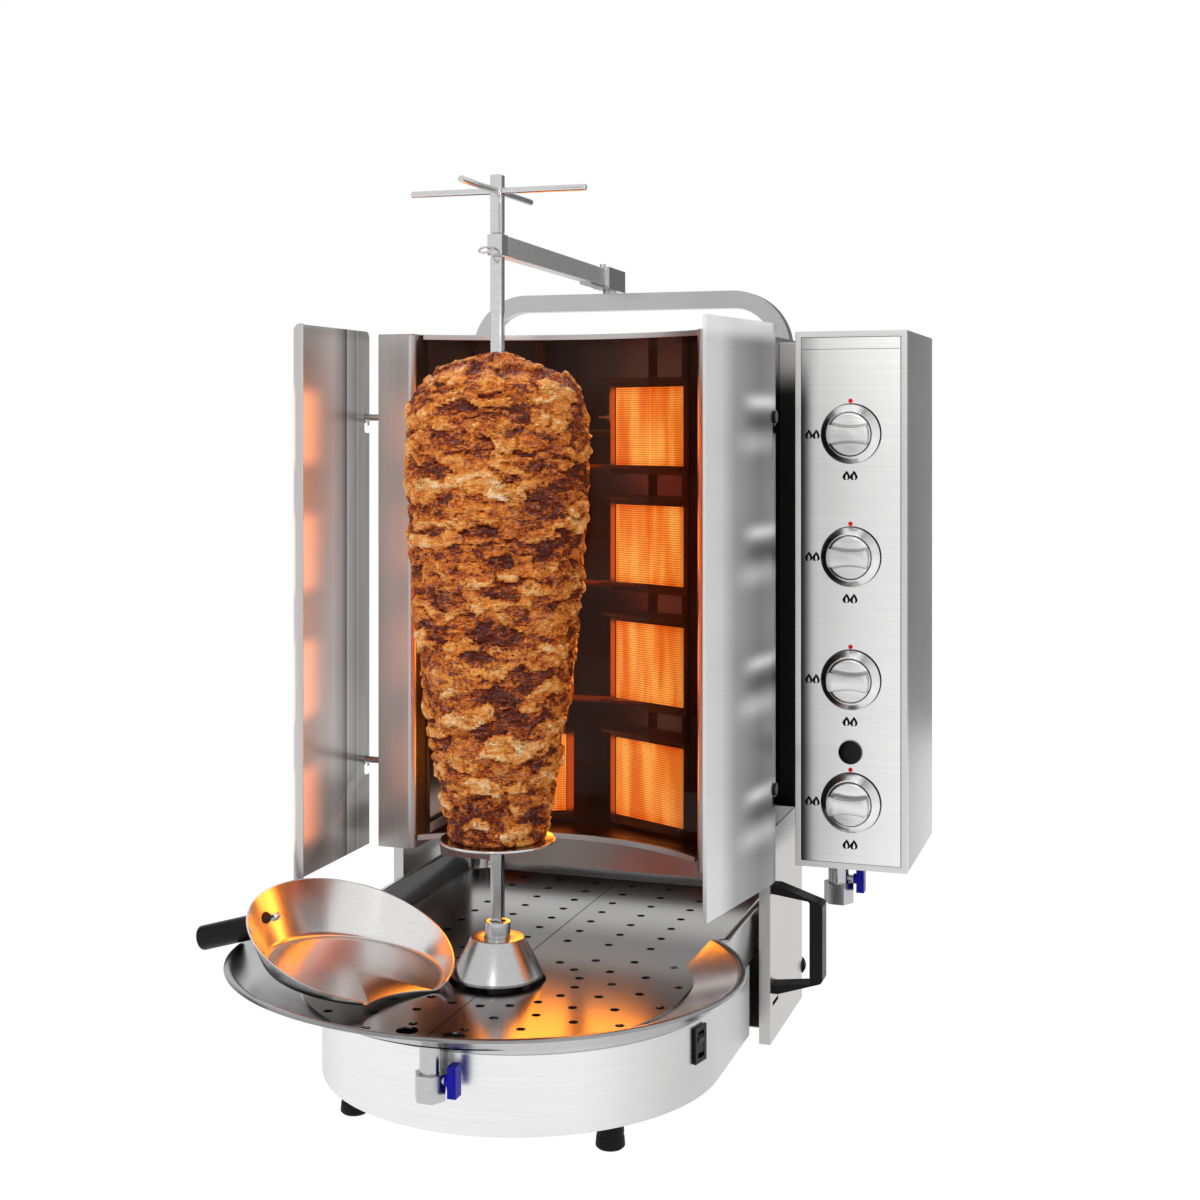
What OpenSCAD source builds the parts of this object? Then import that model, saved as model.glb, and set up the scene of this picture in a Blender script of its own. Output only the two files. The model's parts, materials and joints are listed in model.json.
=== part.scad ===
// Gas doner kebab grill for a worktop: a motor base with a drip dish, a tower with
// eight ceramic burners behind curved glass, a control box and a turning spit.
// The spit's axis is the Z axis of the modules, the operator stands at -Y.

/* [Base] */
// Half width of the base
base_half = 218; // [215:1:222]
// Depth of the centre of the base's round front behind the spit
base_cy = 78; // [60:1:95]
// Underside of the base above the worktop
base_z = 30; // [22:1:34]
// Height of the base's wall
base_h = 80; // [76:1:90]
// Rear end of the wide part of the base
base_rear = 222; // [200:1:240]
// Rear end of the narrow part of the base
base_end = 434; // [430:1:445]
// How far the narrow part of the base stands in at each side
base_step = 12; // [10:1:14]
// Sheet thickness of the base and the dish
sheet = 2; // [1.5:0.1:2.5]
// Thinner sheet of the tower, wings and control box
skin = 1.2; // [1:0.1:1.5]

/* [Feet] */
// Radius of a foot on the worktop
foot_r = 15; // [12:0.5:18]
// Radius of a foot under the base
foot_top_r = 13; // [10:0.5:15]
// Distance of the feet from the middle plane
foot_x = 141; // [120:1:150]
// Depth of the front feet
foot_front_y = -50; // [-60:1:-30]
// Depth of the rear feet
foot_rear_y = 398; // [360:1:410]

/* [Dish] */
// Height of the dish's rim
rim_z = 170; // [168:1:176]
// Half width of the oval rim
rim_a = 272; // [265:1:280]
// Half depth of the oval rim
rim_b = 234; // [228:1:240]
// Depth of the oval rim's centre
rim_cy = -38; // [-42:1:-34]
// Width of the rim's flat hem
hem_w = 7; // [5:0.5:9]
// Thickness of the rim's folded hem
hem_t = 3; // [2.5:0.1:4]
// Half width of the dish's neck at the rim
neck_half = 222; // [221:0.5:224]
// Corner radius at the rear of the neck
neck_corner = 34; // [20:1:45]
// Height of the ledge that carries the plates
ledge_z = 137; // [135:0.5:139]
// Radius of the dish at the ledge
ledge_r = 204; // [202:0.5:206]
// Width of the ledge
ledge_w = 12; // [8:1:16]
// Height of the tray's floor under the plates
tray_z = 114; // [113:0.5:118]
// Radius of the tray's round floor
tray_r = 188; // [184:1:190]
// Depth of the centre of the tray's round floor
tray_cy = 52; // [50:1:56]

/* [Plates] */
// Half width of the two plates together, also the radius of their round front
plate_half = 201; // [198:0.5:201]
// Thickness of a plate
plate_t = 1.5; // [1.2:0.1:2]
// Gap between the two plates
plate_seam = 1.2; // [0.8:0.1:2]
// Rear end of the plates
plate_end = 424; // [400:1:426]
// Radius of the opening round the drip cone
plate_eye_r = 51; // [50:0.5:56]
// Radius of a drain hole
hole_r = 4.75; // [3:0.25:5.5]
// Radius of the first ring of drain holes
ring_r = 86; // [80:1:90]
// Distance from ring to ring
ring_step = 35; // [32:1:36]
// Angle from hole to hole in a ring
ring_turn = 20; // [18:1:24]
// Number of rings of drain holes
rings = 4; // [2:1:4]
// Distance between rows of drain holes behind the rings
row_pitch = 41; // [36:1:44]
// Distance between columns of drain holes
col_pitch = 49; // [44:1:52]
// Radius of a finger hole
finger_r = 11; // [9:0.5:12]
// Depth of the finger holes
finger_y = -173; // [-176:1:-172]

/* [Spit] */
// Width across the square shaft
shaft_w = 12; // [10:0.5:12.5]
// Top of the square shaft
shaft_top = 984; // [970:1:1010]
// Radius of the turned neck that runs in the fork
journal_r = 4; // [3.5:0.25:4.5]
// Radius of the drive sleeve
sleeve_r = 13.6; // [12:0.2:15]
// Top of the drive sleeve
sleeve_top = 200; // [194:1:206]
// Top radius of the drip cone
cone_top_r = 28; // [24:0.5:32]
// Bottom radius of the drip cone
cone_r = 48; // [45:0.5:49]
// Bottom of the drip cone
cone_z = 143; // [142:0.5:146]
// Top of the drip cone
cone_top_z = 184; // [178:0.5:188]
// Radius of the meat disc
disc_r = 60.5; // [56:0.5:70]
// Underside of the meat disc
disc_z = 284; // [270:1:300]
// Thickness of the meat disc
disc_t = 3; // [2:0.5:4]
// Height of the meat
meat_h = 511; // [480:1:520]
// Greatest radius of the meat
meat_r = 97; // [90:1:100]
// Radius of the meat at its foot
meat_foot_r = 56; // [50:1:60]
// Number of meat slices
slices = 46; // [30:1:60]
// Length of a rod of the cross handle
rod_len = 197; // [160:1:210]
// Radius of a rod of the cross handle
rod_r = 3.5; // [3:0.25:4.5]
// Height of the cross handle
rod_z = 967; // [955:1:970]

/* [Tower] */
// Half width of the tower
tower_half = 217; // [216:0.5:220]
// Half width of the tower's front opening
tower_open = 171; // [168:0.5:174]
// Front of the tower
tower_y = 165; // [160:1:168]
// Rear of the tower
tower_end = 482; // [480:1:490]
// Underside of the tower
tower_z = 224; // [223:0.5:228]
// Top of the tower
tower_top = 828; // [822:1:834]
// Radius of the bent inner edge of the front columns
bend_r = 8; // [5:0.5:10]
// Depth of the inner wall of the front columns
return_d = 46; // [44:1:52]
// Radius of the curved glass
glass_r = 287; // [280:1:295]
// Depth of the glass at its middle
glass_mid = 255; // [252:1:258]
// Thickness of the glass
glass_t = 4; // [3:0.5:5]
// Height of the lip in front of the glass
lip_z = 235; // [234:0.5:238]
// Lower edge of the apron
apron_z = 198; // [194:1:202]
// Depth of the apron's lower edge
apron_y = 243; // [240:1:246]

/* [Burners] */
// Number of burner rows
rows = 4; // [2:1:4]
// Distance from row to row
row_step = 141; // [138:0.5:144]
// Height of the middle of the lowest burner
burner_z = 296.5; // [294:0.5:300]
// Width of the glowing face
glow_w = 112; // [100:1:114]
// Height of the glowing face
glow_h = 93; // [86:1:96]
// Turn of a burner towards the spit
burner_turn = 27.4; // [25:0.2:29]
// Half the distance between the glowing faces at the back
burner_x = 31.5; // [29:0.5:36]
// Depth of the glowing face's inner edge
burner_y = 306; // [302:1:310]
// Width of the housing's frame beside the glowing face
frame_side = 9; // [7:0.5:10]
// Width of the housing's frame above and below the glowing face
frame_top = 11; // [9:0.5:13]
// Depth of a burner housing
housing_d = 34; // [28:1:38]
// Thickness of a ceramic tile
tile_t = 13; // [10:0.5:14]

/* [Control box] */
// Left side of the control box
box_x = 260; // [256:1:264]
// Width of the control box
box_w = 128.5; // [120:0.5:136]
// Front of the control box
box_y = 271; // [265:1:276]
// Depth of the control box
box_d = 209; // [190:1:214]
// Underside of the control box
box_z = 214; // [210:1:218]
// Distance from knob to knob
knob_pitch = 140.2; // [138:0.2:142]
// Height of the lowest knob
knob_z = 290; // [286:1:294]
// Outer radius of a bezel
bezel_r = 34; // [31:0.5:36]
// Radius of a knob
knob_r = 24.5; // [22:0.5:26]
// Radius of a valve stem
stem_r = 4; // [3:0.5:5]
// How far a knob is pushed in to turn it
push = 4; // [2:0.5:5]
// Radius of the igniter button
button_r = 13.5; // [11:0.5:15]
// Height of the igniter button
button_z = 348; // [346:1:350]

/* [Wings] */
// Distance of the left wing's flange from the middle plane
wing_x_left = 244; // [240:0.5:250]
// Distance of the right wing's flange from the middle plane
wing_x_right = 256; // [246:0.5:258]
// Depth of the left wing's rear edge
wing_end_left = 197; // [190:1:200]
// Depth of the right wing's rear edge
wing_end_right = 182; // [180:1:200]
// Width of a wing's flange
wing_flange = 18; // [16:1:24]
// Width of a wing's panel
wing_panel = 170; // [150:1:176]
// Lower edge of a wing
wing_z = 218; // [212:1:224]
// Height of a wing
wing_h = 615; // [600:1:620]
// Inward turn of the left wing's panel
wing_turn_left = 0; // [0:0.2:3]
// Inward turn of the right wing's panel
wing_turn_right = 9.8; // [3:0.2:10.2]
// Radius of a hanging stud
stud_r = 4; // [3:0.25:5]
// Height of the lower studs
stud_z = 321; // [310:1:330]
// Distance from lower to upper studs
stud_gap = 409; // [390:1:415]
// How far a wing is lifted off its studs
wing_lift = 14; // [12:0.5:16]

/* [Arm] */
// Distance of the bow from the spit
bow_y = 462; // [455:1:466]
// Width of the bow's square tube
bow_w = 22; // [18:0.5:24]
// Middle radius of the bow's bends
bow_bend = 64; // [55:1:75]
// Top of the bow
bow_top = 892; // [886:1:896]
// Sideways place of the arm's pivot
pivot_x = -27; // [-32:1:-20]
// Width of the arm's tube
arm_w = 15; // [13:0.5:17]
// Height of the arm's tube
arm_h = 22; // [20:0.5:24]
// Underside of the arm
arm_z = 899; // [898:0.5:902]
// Length of the sleeve at the arm's pivot
clamp_len = 84; // [70:1:90]

/* [Pan] */
// Radius of the meat pan's floor
pan_r = 93; // [90:0.5:94]
// Outward slope of the meat pan's wall as a share of its height
pan_flare_share = 0.6; // [0.5:0.02:0.62]
// Height of the slanting rim over the middle of the pan
pan_h = 27; // [25:0.5:29]
// Slant of the rim, which is low at the pan's cut side
pan_slant = 12.7; // [11:0.1:13]
// Sideways place of the pan
pan_x = -134; // [-137:0.5:-133]
// Depth of the pan
pan_y = -66; // [-69:0.5:-63]
// Tilt of the pan, whose handle lies on the dish's rim
pan_tilt = 9; // [8.5:0.1:9.5]
// Radius of the round cut in the pan's edge
pan_cut_r = 114; // [108:1:118]

/* [Valves and handles] */
// Radius of the drain pipe
drain_r = 10.4; // [9.5:0.1:11]
// Radius of the drain's bore
drain_bore_r = 7.5; // [6:0.25:8]
// Radius of the gas inlet's threaded bore, minor size of a half inch thread
inlet_bore_r = 9.3; // [9:0.1:9.6]
// Height of a carrying handle
handle_h = 124; // [110:1:134]
// Reach of a carrying handle
handle_reach = 58; // [44:1:60]
// Width of a carrying handle's grip
grip_w = 24; // [20:1:28]
// Distance of a side plate from the middle plane
plate_x = 236; // [235:0.5:238]
// Front of a side plate
side_y = 248; // [245:1:252]
// Rear of a side plate
side_end = 425; // [420:1:430]
// Underside of a side plate
side_z = 12; // [8:1:16]
// Top of a side plate
side_top = 256; // [250:1:262]

/* [Hidden] */
$fn = 96;
// Overrun of a cut, and the usual play of a running fit
over = 1;
run_gap = 0.05;
// Clearance between pieces that move past each other
move_gap = 0.4;
base_top = base_z + base_h;
handed = [-1, 1];

// Base details
vent_w = 5;
vent_l = 60;
vent_pitch = 14;
vents = 7;
vent_y = 250;
switch_turn = -14;
switch_w = 23;
switch_h = 37;
switch_d = 18;
switch_z = 86;
switch_flange = 3;
switch_wall = 2.5;
rocker_play = 0.5;
rocker_rise = 3;
rocker_axle_r = 2;
gland_r = 11;
gland_d = 14;
gland_bore_r = 5;
gland_x = plate_x - skin - gland_bore_r - over;
gland_z = 50;
motor_w = 110;
motor_l = 150;
motor_h = 42;
motor_can_r = 27;
motor_can_l = 90;
motor_gap = 6;
motor_z = base_z + sheet + motor_gap;
drive_r = 8;
drive_rise = 10;
drive_foot = motor_z + drive_rise;
boss_r = 22;
boss_top = cone_z + drive_rise;

// Plate details
row_start_share = 1.6;
ring_end_turn = 64;
ring_holes = 8;
row_columns = 3;

// Dish details
arc_steps = 48;
slab = 0.5;
neck_end = base_end - sheet;
tray_end = neck_end - ledge_w;

// Spit details
socket_depth = 36;
socket_floor = sleeve_top - socket_depth;
cone_skin = 1.5;
journal_gap = 1;
meat_z = disc_z + disc_t;
meat_bore_share = 0.72;
meat_bore = shaft_w * meat_bore_share;
slice_wave = 1.3;
slice_swing = 0.9;
slice_turn = 97;
swell_share = 0.8;
crown_share = 0.86;
crown_span_share = 0.16;
slice_low_share = 0.3;
slice_high_share = 0.98;

// Tower details
glass_cy = glass_mid - glass_r;
glass_half = (tower_open - slab) * glass_r / (glass_r + glass_t);
glass_turn = asin(glass_half / glass_r);
lip_reach = 25;
lip_t = 5;
lip_shelf_z = lip_z - skin;
louvre_w = 70;
louvre_h = 6;
louvre_pitch = 24;
louvres = 12;
louvre_x = 140;
louvre_z = 460;
top_slot_w = 6;
top_slot_l = 150;
top_slot_pitch = 18;
top_slots = 5;
top_slot_y = 330;
hood = 12;
screw_r = 3;
screw_rise = 1.5;
inlet_hole_r = 6;
post_w = 12;
post_t = 4;
post_in = 22;
shelf_reach = 49;
shelf_t = 4;
feed_r = 4;
feed_y = 404;
feed_drop = 8;
nozzle_r = 3;
electrode_r = 3;
electrode_l = 34;
spark_r = 1;
bracket_w = 12;
bracket_t = 2;

// Control box details
box_top = tower_top + slab;
box_flange = 7;
box_mid = box_x + box_w / 2;
bezel_rise = 8;
bezel_lip = 5;
knob_disc = 5;
knob_rise = 20;
knob_bar = 17;
knob_play = 0.6;
valve_w = 34;
valve_d = 46;
valve_h = 30;
valve_gap = 22;
valve_y = box_y + valve_gap;
knob_back = box_y - push - 2 * knob_play;
stem_front = knob_back - knob_rise + push + move_gap;
button_rise = 8;
button_depth = 12;
button_throw = 3;
rail_r = 8;
rail_in = 36;
rail_x = box_x + rail_in;
rail_back = 79;
rail_y = box_y + rail_back;
gas_pipe_r = 12.4;
hex_r = 17.6;
hex_h = 24;
hex_z = 155;
inlet_depth = 20;
rail_foot = box_z + 2 * skin;
branch_r = 5;
channel_d = 100;
channel_y = box_y + box_d - channel_d;
channel_z = side_top + over;

// Wing details
hem_left = 11;
hem_right = 3.5;
slot_y = wing_flange / 2;
stud_head_r = 7;
stud_head_t = 2.5;

// Arm details
fork_len = 20;
fork_w = 16;
fork_gap = 0.3;
fork_slot = 2 * (journal_r + fork_gap);
lock_r = 1.5;
lock_x = -journal_r - lock_r - move_gap;
lock_z = 8;
lock_len = fork_len / 2 + over;
lock_tip = -fork_slot / 2 - move_gap;
pull_r = 7;
pull_turn = 30;
pull_wire = 1.2;
clamp_t = 3;
clamp_w = arm_w + 2 * clamp_t;
pivot_r = 5;
pivot_boss_r = 9;
bolt_r = 4;
tongue = 76;
leg_foot = 640;

// Pan details
pan_t = 1.5;
pan_seat = 0.4;
pan_low_turn = -34;
pan_cut_turn = -26;
pan_cut_share = 1.6;
pan_high = 62;
pan_top_r = pan_r + pan_flare_share * pan_high;
pan_handle_r = 13;
pan_handle_l = 82;
pan_handle_h = 23.4;
pan_handle_x = pan_r + pan_flare_share * pan_handle_h;
pan_handle_slope = 25;
pan_handle_in = 12;

// Valve and handle details
drain_x = -6;
drain_y = -160;
drain_foot = 70;
drain_hex_r = 16;
drain_hex_h = 26;
drain_top = (tray_z + ledge_z) / 2 + sheet;
lever_hub_r = 6;
lever_hub_l = 7;
lever_t = 9;
lever_w = 14;
lever_up = 16;
lever_down = 15;
lever_stem_r = 4;
drain_lever_rise = 20;
drain_lever_z = drain_foot + drain_lever_rise;
gas_lever_z = hex_z + hex_h + lever_stem_r + over;
handle_z = 129;
handle_slope = 11;
grip_t = 15;
handle_round = 6;
handle_in = 12;
handle_y = side_y + handle_in;
side_flange = 13;
side_foot = 30;
slot_w = 30;
slot_h = 5;
slot_z = 52;

// Where the middle of the whole grill lies
left_reach = -pan_x + pan_handle_x * cos(pan_tilt) - pan_handle_h * sin(pan_tilt)
    + pan_handle_l * cos(pan_handle_slope - pan_tilt) + pan_handle_r * sin(pan_handle_slope - pan_tilt);
front_reach = -rim_cy + rim_b;
right_reach = box_x + box_w;
rear_reach = bow_y + clamp_len / 2;
frame_x = (right_reach - left_reach) / 2;
frame_y = (rear_reach - front_reach) / 2;

// The middle of the grill's outline on the worktop is the model's origin
module placed() translate([-frame_x, -frame_y, 0]) children();

// Round-fronted outline of the base: a half disc and a rectangle behind it
module front_outline(half, cy, end) {
    translate([0, cy]) circle(half);
    translate([-half, cy]) square([2 * half, end - cy]);
}

function oval(a, b, cy) = [for (i = [0 : arc_steps - 1])
    [a * cos(360 * i / arc_steps), cy + b * sin(360 * i / arc_steps)]];

module at(z, h) translate([0, 0, z]) linear_extrude(h) children();

module turned_y(r, l) rotate([-90, 0, 0]) cylinder(r = r, h = l);

module turned_x(r, l) rotate([0, 90, 0]) cylinder(r = r, h = l);

// Wide front part of the base and the narrower part behind it
module base_outline(inset) {
    front_outline(base_half - inset, base_cy, base_rear - inset);
    narrow_outline(inset);
}

module narrow_outline(inset) {
    half = base_half - base_step - inset;
    translate([-half, base_cy]) square([2 * half, base_end - inset - base_cy]);
}

module switch_place() translate([0, base_cy, switch_z]) rotate([0, 0, switch_turn])
    translate([base_half, 0, 0]) children();

module base_drum() {
    color("gainsboro") difference() {
        union() {
            at(base_z, base_h) difference() {
                base_outline(0);
                base_outline(sheet);
            }
            at(base_z, ledge_z - sheet - base_z) difference() {
                narrow_outline(0);
                narrow_outline(sheet);
                translate([-base_half, 0]) square([2 * base_half, base_rear]);
            }
        }
        switch_place() translate([-switch_d, -switch_w / 2 + switch_wall, -switch_h / 2 + switch_wall])
            cube([2 * switch_d, switch_w - 2 * switch_wall, switch_h - 2 * switch_wall]);
    }
}

module base_floor() {
    color("silver") at(base_z, sheet) difference() {
        base_outline(sheet + move_gap);
        for (i = [0 : vents - 1], s = handed)
            translate([s * motor_w - vent_l / 2, vent_y + i * vent_pitch]) square([vent_l, vent_w]);
    }
}

module rubber_feet() {
    color("black") for (s = handed, y = [foot_front_y, foot_rear_y])
        translate([s * foot_x, y, 0]) cylinder(r1 = foot_r, r2 = foot_top_r, h = base_z);
}

// Plan of the dish's neck with its rounded rear corners
module neck_outline(half, end) {
    translate([-half, 0]) square([2 * half, end - neck_corner]);
    translate([-half + neck_corner, 0]) square([2 * (half - neck_corner), end]);
    for (s = handed) translate([s * (half - neck_corner), end - neck_corner]) circle(neck_corner);
}

// A beam along Y whose sides slope from one half width to another
module sloped_beam(low, low_z, high, high_z, rise, front, end) {
    translate([0, end, 0]) rotate([90, 0, 0]) linear_extrude(end - front)
        polygon([[-low, low_z], [low, low_z], [high, high_z], [high, high_z + rise],
                 [-high, high_z + rise], [-high, high_z]]);
}

// Channel of the neck, or the metal round it when it grows by a sheet
module neck_block(grow, rise) {
    half = neck_half - hem_w + grow;
    intersection() {
        sloped_beam(ledge_r + grow, ledge_z - grow, half, rim_z, rise, 0, base_end);
        at(0, rim_z + 2 * over) neck_outline(half, neck_end + grow);
    }
}

module bowl_hollow() hull() {
    at(rim_z, over) polygon(oval(rim_a - hem_w, rim_b - hem_w, rim_cy));
    at(ledge_z, slab) circle(ledge_r, $fn = arc_steps);
}

module tray_block(grow) {
    half = ledge_r - ledge_w + grow;
    hull() {
        at(ledge_z, slab) circle(half, $fn = arc_steps);
        at(tray_z - grow, slab) translate([0, tray_cy]) circle(tray_r + grow, $fn = arc_steps);
    }
    at(tray_z - grow, ledge_z - tray_z + grow + slab) translate([-half, 0]) square([2 * half, tray_end + grow]);
}

// Outside of the dish from its rim down to the base
module dish_body() {
    hull() {
        at(rim_z - hem_t, slab) polygon(oval(rim_a, rim_b, rim_cy));
        at(ledge_z - 2 * sheet, slab) circle(ledge_r + 2 * sheet, $fn = arc_steps);
        at(base_top, slab) translate([0, base_cy]) circle(base_half, $fn = arc_steps);
    }
    sloped_beam(base_half, base_top, neck_half, rim_z - hem_t, hem_t, base_cy, base_rear);
    neck_block(sheet, 0);
    at(rim_z - hem_t, hem_t) {
        polygon(oval(rim_a, rim_b, rim_cy));
        neck_outline(neck_half, neck_end + hem_w);
    }
}

// Space between the tray and the outside of the dish, open to the base
module dish_under() {
    difference() {
        union() {
            hull() {
                at(ledge_z - 2 * sheet - slab, slab) circle(ledge_r - sheet, $fn = arc_steps);
                at(base_top - over, slab) translate([0, base_cy]) circle(base_half - sheet, $fn = arc_steps);
            }
            at(base_top - over, ledge_z - 2 * sheet - base_top + over) translate([-ledge_r, base_cy])
                square([2 * ledge_r, base_rear - sheet - base_cy]);
        }
        tray_block(sheet);
    }
}

module drip_dish() {
    color("silver") difference() {
        union() {
            difference() {
                dish_body();
                dish_under();
            }
            tray_block(sheet);
        }
        difference() {
            union() {
                bowl_hollow();
                neck_block(0, over);
                tray_block(0);
            }
            cylinder(r = boss_r, h = boss_top);
        }
        cylinder(r = drive_r + move_gap, h = rim_z);
        translate([drain_x, drain_y, 0]) cylinder(r = drain_r + run_gap, h = rim_z);
    }
}

// A side plate for the right hand: a sheet with flanges at its edges
module side_plate(side) {
    difference() {
        union() {
            translate([plate_x - skin, side_y, side_z]) cube([skin, side_end - side_y, side_top - side_z]);
            translate([plate_x - side_flange, side_y, side_z])
                cube([side_flange, skin, side_top - side_z]);
            translate([plate_x - side_foot, side_end - skin, side_z])
                cube([side_foot, skin, tower_z - skin - side_z]);
            translate([base_half - base_step, side_y, base_z])
                cube([plate_x - base_half + base_step, side_end - side_y, skin]);
            translate([tower_half - bend_r, side_y, tower_z - skin])
                cube([plate_x - tower_half + bend_r, side_end - side_y, skin]);
        }
        translate([plate_x - side_foot, side_y + side_flange, slot_z]) cube([2 * side_foot, slot_w, slot_h]);
        translate([plate_x - 2 * side_foot, side_end - side_flange, base_top])
            cube([neck_half + move_gap - plate_x + 2 * side_foot, 2 * side_flange, rim_z + move_gap - base_top]);
        if (side > 0) translate([gland_x, side_end - side_flange, gland_z])
            turned_y(gland_bore_r + run_gap, 2 * side_flange);
    }
}

module side_plate_left() color("silver") mirror([1, 0, 0]) side_plate(-1);

module side_plate_right() color("silver") side_plate(1);

// Bent grip with sloping legs, standing out from the right side plate
module carry_handle() {
    half = handle_h / 2;
    inner = half - grip_t;
    translate([plate_x, handle_y + grip_w, handle_z]) rotate([90, 0, 0]) linear_extrude(grip_w)
        difference() {
            offset(r = handle_round) offset(delta = -handle_round) polygon([[-handle_round, -half],
                [handle_round, -half], [handle_reach, -half + handle_slope + handle_round],
                [handle_reach, half - handle_slope - handle_round], [handle_round, half],
                [-handle_round, half]]);
            offset(r = handle_round / 2) offset(delta = -handle_round / 2) polygon([
                [-2 * handle_round, -inner - handle_slope / 2], [0, -inner - handle_slope / 2],
                [handle_reach - grip_t, -inner], [handle_reach - grip_t, inner],
                [0, inner + handle_slope / 2], [-2 * handle_round, inner + handle_slope / 2]]);
            translate([-2 * handle_round, -handle_h]) square([2 * handle_round, 2 * handle_h]);
        }
}

module carry_handle_right() color("#151515") carry_handle();

// Paddle lever that turns about X, the end of its hub at the origin
module paddle() {
    turned_x(lever_hub_r, lever_hub_l);
    translate([lever_hub_l - lever_t / 3, -lever_w / 2, -lever_down])
        cube([lever_t, lever_w, lever_up + lever_down]);
}

module drain_valve() {
    color("lightgray") translate([drain_x, drain_y, drain_foot]) difference() {
        union() {
            cylinder(r = drain_hex_r, h = drain_hex_h, $fn = 6);
            cylinder(r = drain_r, h = drain_top - drain_foot);
            translate([0, 0, drain_lever_z - drain_foot]) turned_x(lever_stem_r, drain_hex_r + move_gap);
        }
        translate([0, 0, -over]) cylinder(r = drain_bore_r, h = drain_top - drain_foot + 2 * over);
    }
}

module drain_lever() {
    color("#2233bb") translate([drain_x + drain_hex_r + move_gap, drain_y, drain_lever_z]) paddle();
}

module gear_motor() {
    color("dimgray") difference() {
        union() {
            translate([-motor_w / 2, -motor_w / 2, motor_z]) cube([motor_w, motor_l, motor_h]);
            translate([0, motor_l - motor_w / 2, motor_z + motor_can_r]) turned_y(motor_can_r, motor_can_l);
            for (s = handed, y = [-motor_w / 2, motor_l - motor_w / 2 - post_w])
                translate([s * (motor_w - post_w) / 2 - post_w / 2, y, base_z + sheet])
                    cube([post_w, post_w, motor_z - base_z - sheet + over]);
        }
        translate([0, 0, drive_foot]) cylinder(r = drive_r + run_gap, h = motor_h);
    }
}

module switch_frame() {
    color("#101010") switch_place() difference() {
        union() {
            translate([move_gap, -switch_w / 2, -switch_h / 2]) cube([switch_flange, switch_w, switch_h]);
            translate([-switch_d, -switch_w / 2 + switch_wall + move_gap, -switch_h / 2 + switch_wall + move_gap])
                cube([switch_d + over, switch_w - 2 * switch_wall - 2 * move_gap,
                      switch_h - 2 * switch_wall - 2 * move_gap]);
        }
        translate([-switch_d + switch_wall, -switch_w / 2 + 2 * switch_wall, -switch_h / 2 + 2 * switch_wall])
            cube([2 * switch_d, switch_w - 4 * switch_wall, switch_h - 4 * switch_wall]);
        translate([-switch_d / 3, -switch_w, 0]) turned_y(rocker_axle_r + run_gap, 2 * switch_w);
    }
}

module switch_rocker() {
    w = switch_w - 4 * switch_wall - 2 * rocker_play;
    h = switch_h - 4 * switch_wall - 2 * rocker_play;
    front = switch_d / 3 + switch_flange + rocker_rise;
    color("#181818") switch_place() translate([-switch_d / 3, 0, 0]) {
        translate([0, w / 2, 0]) rotate([90, 0, 0]) linear_extrude(w) intersection() {
            circle(h / 2 - rocker_play);
            polygon([[-h / 4, -h / 2], [front - rocker_rise, -h / 2], [front - rocker_rise, 0],
                     [front, h / 2], [-h / 4, h / 2]]);
        }
        translate([0, -w / 2 - switch_wall, 0]) turned_y(rocker_axle_r, w + 2 * switch_wall);
    }
}

module cable_gland() {
    color("#141414") translate([gland_x, side_end, gland_z]) difference() {
        union() {
            turned_y(gland_r, gland_d / 2);
            turned_y(gland_r - sheet, gland_d);
            translate([0, -3 * sheet, 0]) turned_y(gland_bore_r, 3 * sheet + over);
        }
        translate([0, -4 * sheet, 0]) turned_y(gland_bore_r - sheet, 4 * sheet + 2 * gland_d);
    }
}

// Folded sheet of the tower's right side: wall, front face and bent inner return
module tower_side() {
    at(tower_z, tower_top - skin - tower_z) {
        translate([tower_half - skin, tower_y]) square([skin, tower_end - tower_y]);
        translate([tower_open + bend_r, tower_y]) square([tower_half - tower_open - bend_r, skin]);
        translate([tower_open, tower_y + bend_r]) square([skin, return_d - bend_r]);
        translate([tower_open + bend_r, tower_y + bend_r]) intersection() {
            difference() {
                circle(bend_r);
                circle(bend_r - skin);
            }
            translate([-bend_r, -bend_r]) square(bend_r);
        }
    }
}

// Headed studs that carry a wing
module studs(x, end) {
    for (z = [stud_z, stud_z + stud_gap]) {
        translate([tower_half, end - slot_y, z]) turned_x(stud_r, x + skin + 2 * move_gap - tower_half);
        translate([x + skin + 2 * move_gap, end - slot_y, z]) turned_x(stud_head_r, stud_head_t);
    }
}

module tower_side_left() {
    color("silver") mirror([1, 0, 0]) {
        tower_side();
        studs(wing_x_left, wing_end_left);
    }
}

module tower_side_right() {
    color("silver") difference() {
        tower_side();
        for (i = [0 : rows - 1]) translate([tower_half - over - skin, feed_y, row_z(i) - feed_drop])
            turned_x(feed_r + move_gap, 2 * over + 2 * skin);
    }
    color("silver") studs(wing_x_right, wing_end_right);
}

function row_z(i) = burner_z + i * row_step;

module back_panel() {
    color("silver") difference() {
        translate([-tower_half, tower_end, tower_z]) cube([2 * tower_half, skin, tower_top - tower_z]);
        for (i = [0 : louvres - 1], s = handed)
            translate([s * louvre_x - louvre_w / 2, tower_end - over, louvre_z + i * louvre_pitch])
                cube([louvre_w, 2 * over + skin, louvre_h]);
    }
}

// Area of the tower behind the curve of the lip
module behind_lip(reach, half, end) difference() {
    translate([-half, tower_y]) square([2 * half, end - tower_y]);
    intersection() {
        translate([0, glass_cy]) circle(glass_r - reach);
        translate([-tower_open - skin, 0]) square([2 * (tower_open + skin), tower_end]);
    }
}

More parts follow.
